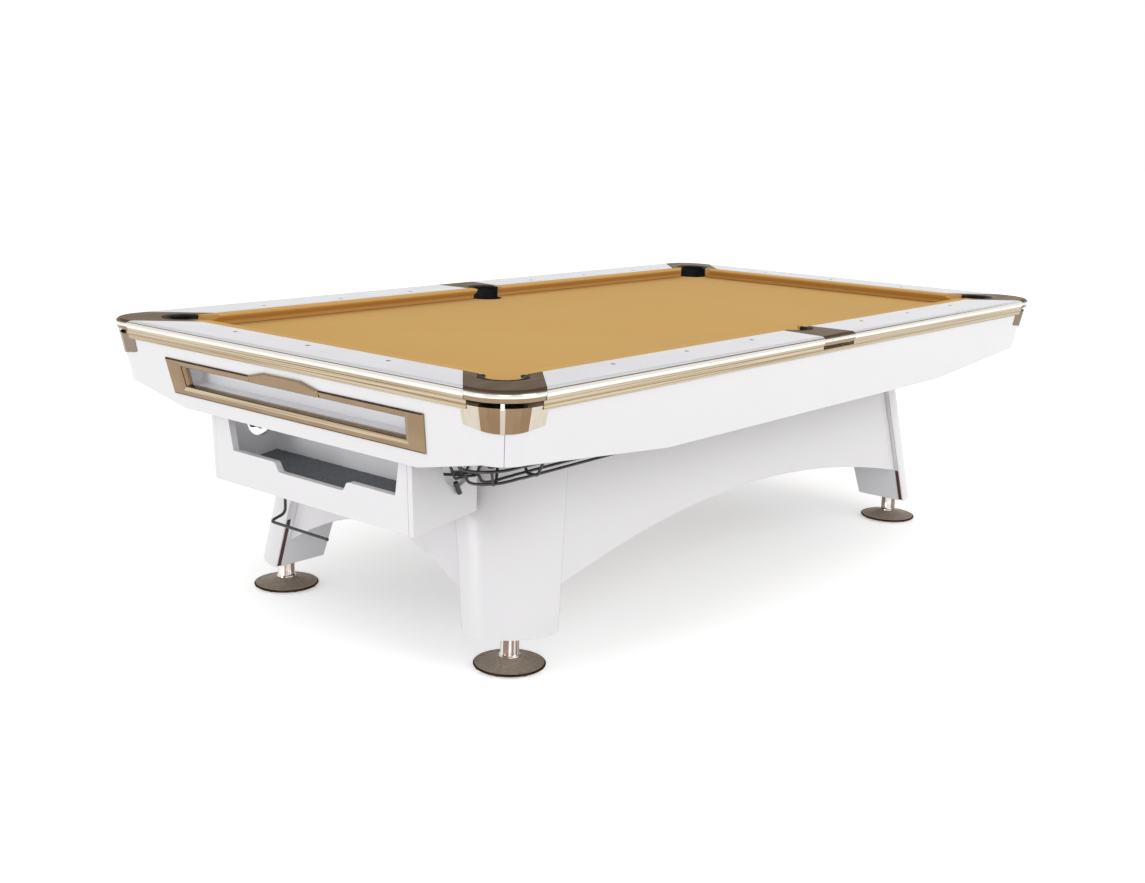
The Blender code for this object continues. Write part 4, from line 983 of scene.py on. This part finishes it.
def legs():
    """Each leg is a core in a brighter white, painted light that lifts its shade, and a curved white skin
    with rounded lower corners and dark red-brown edge strips.
    """
    for name, corner in CORNERS.items():
        section = leg_section(name)
        low, high = section
        tall = high[3] - low[3]
        quarter = low[2] * math.pi / 2
        stops = [LEG_CORNER * share for share in LEG_CORNER_STOPS]
        middle = [quarter * index / LEG_STEPS for index in range(1, LEG_STEPS)]
        ends = stops[::-1]
        stops += [stop for stop in middle if LEG_CLEAR < stop < quarter - LEG_CLEAR]
        stops += [quarter - stop for stop in ends]
        rings = []
        for stop in stops:
            turn = stop / low[2]
            dent = max(0.0, LEG_CORNER - min(stop, quarter - stop))
            lift = (LEG_CORNER - math.sqrt(LEG_CORNER ** 2 - dent ** 2)) / tall
            rings.append([leg_point(section, corner, cut, turn, height) for cut, height in (
                (0, lift), (0, 1), (LEG_SKIN, 1), (LEG_SKIN, lift))])
        piece(f"leg_{name}_skin", lofted(rings), WHITE, f"leg_{name}", edge=BOARD_EDGE)
        turns = [math.pi / 2 * index / CORE_STEPS for index in range(CORE_STEPS + 1)]
        rings = []
        for lift in (0, 1):
            x, y, _, height = low.lerp(high, lift)
            ring = [leg_point(section, corner, LEG_SKIN + LEG_SEAM, turn, lift) for turn in turns]
            rings.append([(corner[0] * x, corner[1] * y, height)] + ring)
        # The core in the brighter white, painted light lifting its shade
        piece(f"leg_{name}_core", lofted(rings), SHADE_LIFTED_WHITE, edge=BOARD_EDGE)
        leg_strips(name, section, corner)


def leg_strips(name, section, corner):
    """Dark red-brown strips on the ends of a leg's skin, up to the panels, and thin dark lines up its outer
    edges.
    """
    low, high = section
    tall = high[3] - low[3]
    end_panel = "base_panel_head" if corner[0] < 0 else "base_panel_foot"
    side_panel = "base_panel_near" if corner[1] < 0 else "base_panel_far"
    ends = (
        (0, 1, LOW[end_panel].z + STRIP_ABOVE, Vector((0, -corner[1], 0))),
        (math.pi / 2, -1, LOW[side_panel].z, Vector((-corner[0], 0, 0))),
    )
    meshes = []
    for turn, hand, top, inward in ends:
        half = inward * STRIP_THICK
        rings = []
        for lift in (LEG_CORNER * STRIP_START / tall, (top - low[3]) / tall):
            first = Vector(leg_point(section, corner, STRIP_OUT, turn, lift))
            second = Vector(leg_point(section, corner, STRIP_IN, turn, lift))
            rings.append([first - half, first + half, second + half, second - half])
        meshes.append(lofted(rings))
        rings = []
        for lift in (LEG_CORNER / tall, 1):
            into = hand / low.lerp(high, lift)[2]
            spots = [(cut, turn + into * along) for cut, along in EDGING]
            rings.append([leg_point(section, corner, cut, spot, lift) for cut, spot in spots])
        meshes.append(lofted(rings))
    piece(f"leg_{name}_strips", merged(meshes), DARK_RED_STRIP)


def sliced(node, low, high):
    """The part of a CAD node's mesh between two planes across Y, with its cut faces closed."""
    mesh = copied(node)
    with editing(mesh) as work:
        for place, normal in ((low, -1), (high, 1)):
            parts = work.verts[:] + work.edges[:] + work.faces[:]
            cut = bmesh.ops.bisect_plane(work, geom=parts, plane_co=(0, place, 0), plane_no=(0, normal, 0),
                                         clear_outer=True)
            rim = [item for item in cut["geom_cut"] if isinstance(item, bmesh.types.BMEdge)]
            bmesh.ops.triangle_fill(work, edges=rim, use_beauty=True, use_dissolve=True)
        bmesh.ops.recalc_face_normals(work, faces=work.faces)
    return mesh


def rounded_edges(mesh, spots, radius):
    """Rounds the edges across a wall that pass near some (y, z) spots."""
    with editing(mesh) as work:
        edges = []
        for edge in work.edges:
            first, second = (vertex.co for vertex in edge.verts)
            middle = (first + second) / 2
            along = abs(first.x - second.x) > FACING * (first - second).length
            if along and any(math.hypot(middle.y - y, middle.z - z) < WINDOW_NEAR for y, z in spots):
                edges.append(edge)
        bmesh.ops.bevel(work, geom=edges, offset=radius, segments=5, profile=0.5, affect="EDGES",
                        clamp_overlap=True)
    return mesh


def ball_box():
    """The ball box of boards: two side boards with the front, floor and back between them, and a carpet."""
    half = HIGH["ball_box"].y
    seam = half - BOX_WALL
    stop = half + BOX_WALL
    dip = [(WINDOW_SHIFT + side * y, z) for side in (-1, 1) for y, z in WINDOW_DIP]
    middle = rounded_edges(sliced("ball_box", -seam + SEAM_GAP, seam - SEAM_GAP), dip, WINDOW_ROUND)
    made = piece("ball_box_middle", middle, WHITE, "ball_box", edge=BOX_EDGE)
    back = HIGH["ball_box"].x - BOX_WALL
    # Inside faces of the box in the brighter white, painted light lifting their shade
    paint(made, SHADE_LIFTED_WHITE, lambda face: face.normal.x < -FACING and abs(face.center.x - back) < SHADE_LIFT_REACH)
    near = piece("ball_box_side_near", sliced("ball_box", -stop, -seam - SEAM_GAP), WHITE, edge=BOX_EDGE)
    paint(near, SHADE_LIFTED_WHITE, lambda face: face.normal.y > FACING)
    far = piece("ball_box_side_far", sliced("ball_box", seam + SEAM_GAP, stop), WHITE, edge=BOX_EDGE)
    paint(far, SHADE_LIFTED_WHITE, lambda face: face.normal.y < -FACING)
    carpet()


def carpet():
    """Speckled carpet laid on the sloping floor of the ball box, its pile uneven."""
    half = HIGH["ball_box"].y - BOX_WALL - CARPET_MARGIN
    deep = CARPET_BACK - CARPET_FRONT
    rise = CARPET_HIGH - CARPET_LOW
    rings = []
    for row in range(CARPET_ROWS + 1):
        x = CARPET_FRONT + deep * row / CARPET_ROWS
        floor = CARPET_LOW + rise * row / CARPET_ROWS
        tops = []
        backs = []
        for column in range(CARPET_COLUMNS + 1):
            y = -half + 2 * half * column / CARPET_COLUMNS
            uneven = noise.noise(Vector((x * CARPET_GRAIN, y * CARPET_GRAIN, 0)))
            tops.append((x, y, floor + CARPET_PILE + CARPET_WAVE * uneven))
            backs.append((x, y, floor + CARPET_GAP))
        rings.append(tops + backs[::-1])
    made = piece("ball_box_carpet", lofted(rings), CARPET, angle=80)


def apron_place(y, z, proud):
    """A point on the leaning head apron's face, standing proud of it, in the tray's place along the apron."""
    reach = CAP_OUTER - APRON_LEAN * (APRON_TOP - z)
    return (-(HALF_LENGTH + reach + proud), y + TRAY_SHIFT, z)


def tray_frame():
    """Bevelled metal frame of the accessory tray, with a reveal into the tray, and its plaque; bands of it
    are painted dark and pale as painted reflections, and its reveal dark as painted shade.
    """
    outer_half = (HIGH["tray_frame"].y - LOW["tray_frame"].y) / 2 - TRAY_SPLAY
    outer_low = LOW["tray_frame"].z
    outer_high = HIGH["tray_frame"].z - PLAQUE_RISE
    inner_half = outer_half - TRAY_STILE
    inner_low = outer_low + TRAY_BOTTOM_RAIL
    inner_high = outer_high - TRAY_TOP_RAIL
    steps = [(outer_half - inset, outer_low + inset, outer_high - inset, proud)
             for inset, proud in TRAY_OUTER_STEPS]
    steps += [(inner_half + inset, inner_low - inset, inner_high + inset, proud)
              for inset, proud in TRAY_INNER_STEPS]
    rings = []
    for half, low, high, proud in steps:
        ring = []
        for side, z in ((-1, low), (1, low), (1, high), (-1, high)):
            lean = TRAY_SPLAY * (2 * (z - outer_low) / (outer_high - outer_low) - 1)
            ring.append(apron_place(side * (half + lean), z, proud))
        rings.append(ring)
    mesh = lofted(rings, round_trip=True)
    made = piece("tray_frame_metal", mesh, CHAMPAGNE, "tray_frame", edge=METAL_EDGE, angle=15)
    made.data.materials.append(BRONZE_AND_PAINTED_SHADE.material)
    made.data.materials.append(LIP.material)
    # Painted reflections and shade: dark bevel bands on the top and bottom rails, pale ridges on the bottom
    # rail, a dark reveal
    for index, face in enumerate(made.data.polygons):
        band, side = divmod(index, FACES_PER_BAND)
        if band == TRAY_SHADED_REVEAL or (band in TRAY_DARK_REFLECTION_BANDS and side in (TRAY_BOTTOM_SIDE, TRAY_TOP_SIDE)):
            face.material_index = 1
        elif band in TRAY_PALE_REFLECTION_BANDS and side == TRAY_BOTTOM_SIDE:
            face.material_index = 2
    tray_plaque(inner_high, outer_high)


def tray_plaque(low, shoulder):
    """Bare raised plaque on the top rail of the tray frame."""
    high = shoulder + PLAQUE_RISE
    right = [(PLAQUE_BASE, low + PLAQUE_LAP), (PLAQUE_BASE, shoulder), (PLAQUE_TOP, high)]
    outline = right + [(-y, z) for y, z in right[::-1]]
    middle = (low + high) / 2
    rings = []
    for shrink, proud in PLAQUE_STEPS:
        ring = []
        for y, z in outline:
            y -= math.copysign(2 * shrink, y)
            z -= math.copysign(shrink, z - middle)
            ring.append(apron_place(y, z, proud))
        rings.append(ring)
    piece("tray_plaque", lofted(rings), CHAMPAGNE, edge=METAL_EDGE, angle=15)


# Wires
def catmull(points, steps):
    """A smooth curve through some points."""
    points = [Vector(point) for point in points]
    ends = [2 * points[0] - points[1]] + points + [2 * points[-1] - points[-2]]
    route = []
    for index in range(len(points) - 1):
        a, b, c, d = ends[index:index + 4]
        for step in range(steps):
            t = step / steps
            route.append(0.5 * (2 * b + (c - a) * t + (2 * a - 5 * b + 4 * c - d) * t ** 2
                                + (3 * b - a - 3 * c + d) * t ** 3))
    return route + [points[-1]]


def rounded(points, radius):
    """A route of straight runs with its corners rounded."""
    points = [Vector(point) for point in points]
    route = [points[0]]
    for before, corner, after in zip(points, points[1:], points[2:]):
        back = min(radius, (before - corner).length / RUN_PER_BEND)
        ahead = min(radius, (after - corner).length / RUN_PER_BEND)
        start = corner + (before - corner).normalized() * back
        end = corner + (after - corner).normalized() * ahead
        for step in range(BEND_STEPS + 1):
            t = step / BEND_STEPS
            route.append(start.lerp(corner, t).lerp(corner.lerp(end, t), t))
    return route + [points[-1]]


def tube(route, radius, sides=12):
    """A round wire along a route."""
    rings = []
    across = Vector(TUBE_START)
    for index, point in enumerate(route):
        ahead = (route[min(index + 1, len(route) - 1)] - route[max(index - 1, 0)]).normalized()
        across = (across - ahead * across.dot(ahead)).normalized()
        over = ahead.cross(across)
        rings.append([point + across * (radius * x) + over * (radius * y)
                      for x, y in arc((0, 0), 1, 0, 360 - 360 / sides, sides - 1)])
    return lofted(rings)


def track_tie(centre, across, seat=None):
    """A bracket round the wires of a track, run on up to the slate frame where it has a seat there."""
    low = Vector((0, 0, -WIRE_RADIUS))
    high = Vector((0, 0, TRACK_GUARD_RISE))
    rail = across * TRACK_RAIL_HALF
    guard = across * TRACK_GUARD_HALF
    points = [centre + guard + high, centre + rail + low, centre - rail + low, centre - guard + high]
    if seat:
        points += [seat - Vector((0, 0, TRACK_KNEE)), seat]
    return tube(rounded(points, TIE_BEND), TIE_RADIUS, sides=8)


def ball_track(name, side, plan):
    """A ball track: two running wires, two guard wires and brackets, smooth round the bend into the box."""
    start = Vector((POCKETS["c"].x, POCKETS["d"].y, TRACK_START))
    bend_height = TRACK_START - TRACK_FALL * (start.x - plan[0][0])
    fall = (TRACK_END - bend_height) / (len(plan) - 1)
    bend = catmull([(x, y, bend_height + fall * index) for index, (x, y) in enumerate(plan)], TRACK_STEPS)
    route = [Vector((point.x, side * point.y, point.z)) for point in [start] + bend]
    level = []
    for index in range(len(route)):
        ahead = route[min(index + 1, len(route) - 1)] - route[max(index - 1, 0)]
        level.append(Vector((-ahead.y, ahead.x, 0)).normalized())
    meshes = []
    for half, rise in ((TRACK_RAIL_HALF, 0), (TRACK_GUARD_HALF, TRACK_GUARD_RISE)):
        lift = Vector((0, 0, rise))
        for hand in (-half, half):
            wire = [point + across * hand + lift for point, across in zip(route, level)]
            meshes.append(tube(wire, WIRE_RADIUS))
    straight = route[1] - route[0]
    inset = straight.normalized() * TRACK_TIE_INSET
    for index in range(TRACK_SPANS + 1):
        centre = route[0] + inset + (straight - inset * TRACK_TIE_ENDS) * (index / TRACK_SPANS)
        seat = Vector((centre.x, side * TRACK_SEAT_Y, LOW["slate_frame"].z)) if index % 2 == 0 else None
        meshes.append(track_tie(centre, Vector((0, side, 0)), seat))
    for place in (1 + TRACK_STEPS, 1 + 3 * TRACK_STEPS):
        meshes.append(track_tie(route[place], level[place]))
    hole = Vector((route[-1].x, side * (HIGH["ball_box"].y + CLIP_OUT), TRACK_END))
    meshes.append(track_tie(hole, Vector((1, 0, 0))))
    if name == "near":
        drop = [hole - Vector((CLIP_LEAN * (1 - share), 0, CLIP_DROP * share)) for share in CLIP_SHARES]
        meshes.append(tube(drop, CLIP_RADIUS))
    piece(f"ball_track_{name}_wires", merged(meshes), WIRE, f"ball_track_{name}", angle=60)


def rack_hanger():
    """A bent rod under the ball box, hung from a round flange."""
    low, high = LOW["rack_hanger"], HIGH["rack_hanger"]
    front = low.x + HANGER_RADIUS
    arm = low.z + HANGER_RADIUS
    root = (high.x - HANGER_FLANGE, high.y - HANGER_FLANGE)
    rod = rounded([(*root, high.z - HANGER_ROOT), (*root, arm + HANGER_KNEE), (front, root[1], arm),
                   (front, low.y, arm)], HANGER_BEND)
    profile = ((0, -FLANGE_TALL), (HANGER_FLANGE - FLANGE_EASE, -FLANGE_TALL),
               (HANGER_FLANGE, FLANGE_EASE - FLANGE_TALL), (HANGER_FLANGE, 0), (0, 0))
    flange = turned(shifted(profile, 0, high.z), root, sides=32)
    piece("rack_hanger_rod", merged([tube(rod, HANGER_RADIUS), flange]), WIRE, "rack_hanger", angle=50)


# Feet
def pad_disc(name, centre):
    """A foot's disc: dark rim, pebbled top rising to the hub, and polished glides under the rim."""
    node = f"foot_pad_{name}"
    radius = (HIGH[node].x - LOW[node].x) / 2
    hub = HIGH[node].z
    start = radius - DISC_EDGE
    profile = [(0.0, GLIDE_TALL)] + shifted(DISC_RIM, radius, GLIDE_TALL)
    for step in range(1, DISC_STEPS + 1):
        share = step / DISC_STEPS
        height = DISC_START + (hub - HUB_STEP - DISC_START) * share ** DISC_CURVE
        profile.append((start - (start - PAD_HUB) * share, height))
    profile += shifted(HUB_EASE, PAD_HUB, hub) + [(PAD_SOCKET, hub), (0.0, hub - SOCKET_DEEP)]
    mesh = turned(profile, centre, sides=96)

    def distance(point):
        return math.hypot(point.x - centre[0], point.y - centre[1])

    for vertex in mesh.vertices:
        place = vertex.co
        if PAD_HUB < distance(place) < radius - PEBBLE_MARGIN and place.z > GLIDE_TALL + PEBBLE_LOW:
            place.z += PEBBLE_TALL * noise.noise(Vector((place.x * PEBBLE_GRAIN, place.y * PEBBLE_GRAIN, 0)))
    made = piece(f"foot_pad_{name}_disc", mesh, PEBBLED, node, f"pad_{name}", angle=40)
    paint(made, BRONZE_AND_PAINTED_SHADE, lambda face: distance(face.center) > radius - DARK_RIM
          and face.center.z > GLIDE_TALL + DARK_RIM_LOW)
    places = arc(centre, radius - GLIDE_INSET, *GLIDE_ARC)
    glides = [turned(GLIDE_PROFILE, place, sides=20) for place in places]
    piece(f"foot_glides_{name}", merged(glides), CHROME, body=f"pad_{name}", angle=40)


def stem_post(name, centre):
    """A foot's polished stem with a flared foot, a waist groove and its hidden shank."""
    node = f"foot_stem_{name}"
    low, high = LOW[node].z, HIGH[node].z
    foot = HIGH[f"foot_pad_{name}"].z + STEM_FOOT_GAP
    shoulder = LOW[f"leg_{name}"].z - SEAM_GAP
    profile = [(0.0, low), (STEM_PIN, low), (STEM_PIN, foot)] + shifted(STEM_FLARE, STEM_RADIUS, foot)
    profile += shifted(STEM_NECK, STEM_RADIUS, shoulder)
    profile += [(STEM_SHANK, shoulder), (STEM_SHANK, high), (0.0, high)]
    mesh = turned(profile, centre, sides=64)
    # The stem's brown stripes are painted reflections
    piece(f"foot_stem_{name}_post", mesh, CHROME_PAINTED_REFLECTIONS, node, f"stem_{name}", angle=30)


def feet():
    """Levelling feet."""
    for name in CORNERS:
        middle = (LOW[f"foot_pad_{name}"] + HIGH[f"foot_pad_{name}"]) / 2
        pad_disc(name, (middle.x, middle.y))
        stem_post(name, (middle.x, middle.y))


def carried_nodes():
    """Nodes whose solids stay as they are, with their own finish."""
    for node, finish in (("slate_bed", SLATE), ("slate_frame", TIMBER)):
        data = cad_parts[node].data
        data.materials.clear()
        data.materials.append(finish.material)


# Stage
def stage_sheet(name, low, high, height, look):
    """A level square of the stage."""
    corners = [(low, low, height), (high, low, height), (high, high, height), (low, high, height)]
    made = bpy.data.objects.new(name, mesh_from(corners, [(0, 1, 2, 3)]))
    bpy.context.scene.collection.objects.link(made)
    made.data.materials.append(look.material)
    return made


def seen_ray(tree):
    """The light path's outputs, and a value of 1 where a ray is the camera's or a reflection."""
    path = add_node(tree, "ShaderNodeLightPath").outputs
    rays = {0: path["Is Camera Ray"], 1: path["Is Glossy Ray"]}
    return path, add_node(tree, "ShaderNodeMath", rays, operation="MAXIMUM").outputs[0]


def floor_and_card():
    """A pale floor lifted to white where it is seen, and a dark card for reflections alone."""
    look = Look("floor", (0.88, 0.88, 0.88), 0.9, Specular_IOR_Level=0.0, Emission_Color=(1, 1, 1, 1))
    _, seen = seen_ray(look.tree)
    lift = add_node(look.tree, "ShaderNodeMath", {0: seen, 1: FLOOR_LIFT}, operation="MULTIPLY")
    look.tree.links.new(lift.outputs[0], look.shader.inputs["Emission Strength"])
    floor = stage_sheet("floor", -FLOOR_HALF, FLOOR_HALF, 0, look)
    look = Look("dark_card", (0, 0, 0), 0.9, Specular_IOR_Level=0.0, Emission_Color=(*CARD_COLOUR, 1),
                Emission_Strength=1.0)
    card = stage_sheet("dark_card", CARD_NEAR, CARD_FAR, CARD_HEIGHT, look)
    card.visible_camera = False
    card.visible_diffuse = False
    card.visible_shadow = False
    card.visible_transmission = False


def surround():
    """A white surround, a little dimmer as light than where it is seen."""
    world = bpy.data.worlds.new("studio")
    bpy.context.scene.world = world
    world.use_nodes = True
    tree = world.node_tree
    tree.nodes.clear()
    path, seen = seen_ray(tree)
    clear = add_node(tree, "ShaderNodeMath", {0: seen, 1: path["Is Transmission Ray"]}, operation="MAXIMUM")
    soft = add_node(tree, "ShaderNodeBackground", {"Color": (1, 1, 1, 1), "Strength": SURROUND})
    white = add_node(tree, "ShaderNodeBackground", {"Color": (1, 1, 1, 1), "Strength": 1.0})
    shades = {"Fac": clear.outputs[0], 1: soft.outputs[0], 2: white.outputs[0]}
    mix = add_node(tree, "ShaderNodeMixShader", shades)
    add_node(tree, "ShaderNodeOutputWorld", {"Surface": mix.outputs[0]})


def lamps():
    """Soft area lamps."""
    for name, place, aim, (wide, tall), power in LAMPS:
        data = bpy.data.lights.new(name, "AREA")
        data.shape = "RECTANGLE"
        data.size = wide
        data.size_y = tall
        data.energy = power
        lamp = bpy.data.objects.new(name, data)
        lamp.location = place
        lamp.rotation_mode = "QUATERNION"
        lamp.rotation_quaternion = (Vector(aim) - Vector(place)).to_track_quat("-Z", "Y")
        bpy.context.scene.collection.objects.link(lamp)


def photo_camera():
    """The camera at the photograph's angle."""
    yaw, pitch, roll = (math.radians(turn) for turn in (CAMERA_YAW, CAMERA_PITCH, CAMERA_ROLL))
    forward = Vector((math.cos(yaw) * math.cos(pitch), math.sin(yaw) * math.cos(pitch), math.sin(pitch)))
    level = Vector((math.sin(yaw), -math.cos(yaw), 0))
    upright = level.cross(forward)
    right = math.cos(roll) * level + math.sin(roll) * upright
    up = math.cos(roll) * upright - math.sin(roll) * level
    data = bpy.data.cameras.new("camera")
    data.lens = CAMERA_LENS
    data.sensor_width = SENSOR_WIDTH
    camera = bpy.data.objects.new("camera", data)
    turn = Matrix((right, up, -forward)).transposed().to_4x4()
    camera.matrix_world = Matrix.Translation(CAMERA_PLACE) @ turn
    bpy.context.scene.collection.objects.link(camera)
    bpy.context.scene.camera = camera


bed_cloth()
cushions()
rail_caps()
sights()
rail_trims()
castings()
pocket_rims()
shields()
boards()
legs()
ball_box()
tray_frame()
ball_track("near", -1, NEAR_BEND)
ball_track("far", 1, FAR_BEND)
rack_hanger()
feet()
carried_nodes()

bpy.context.scene.view_settings.view_transform = "Standard"
floor_and_card()
surround()
lamps()
photo_camera()
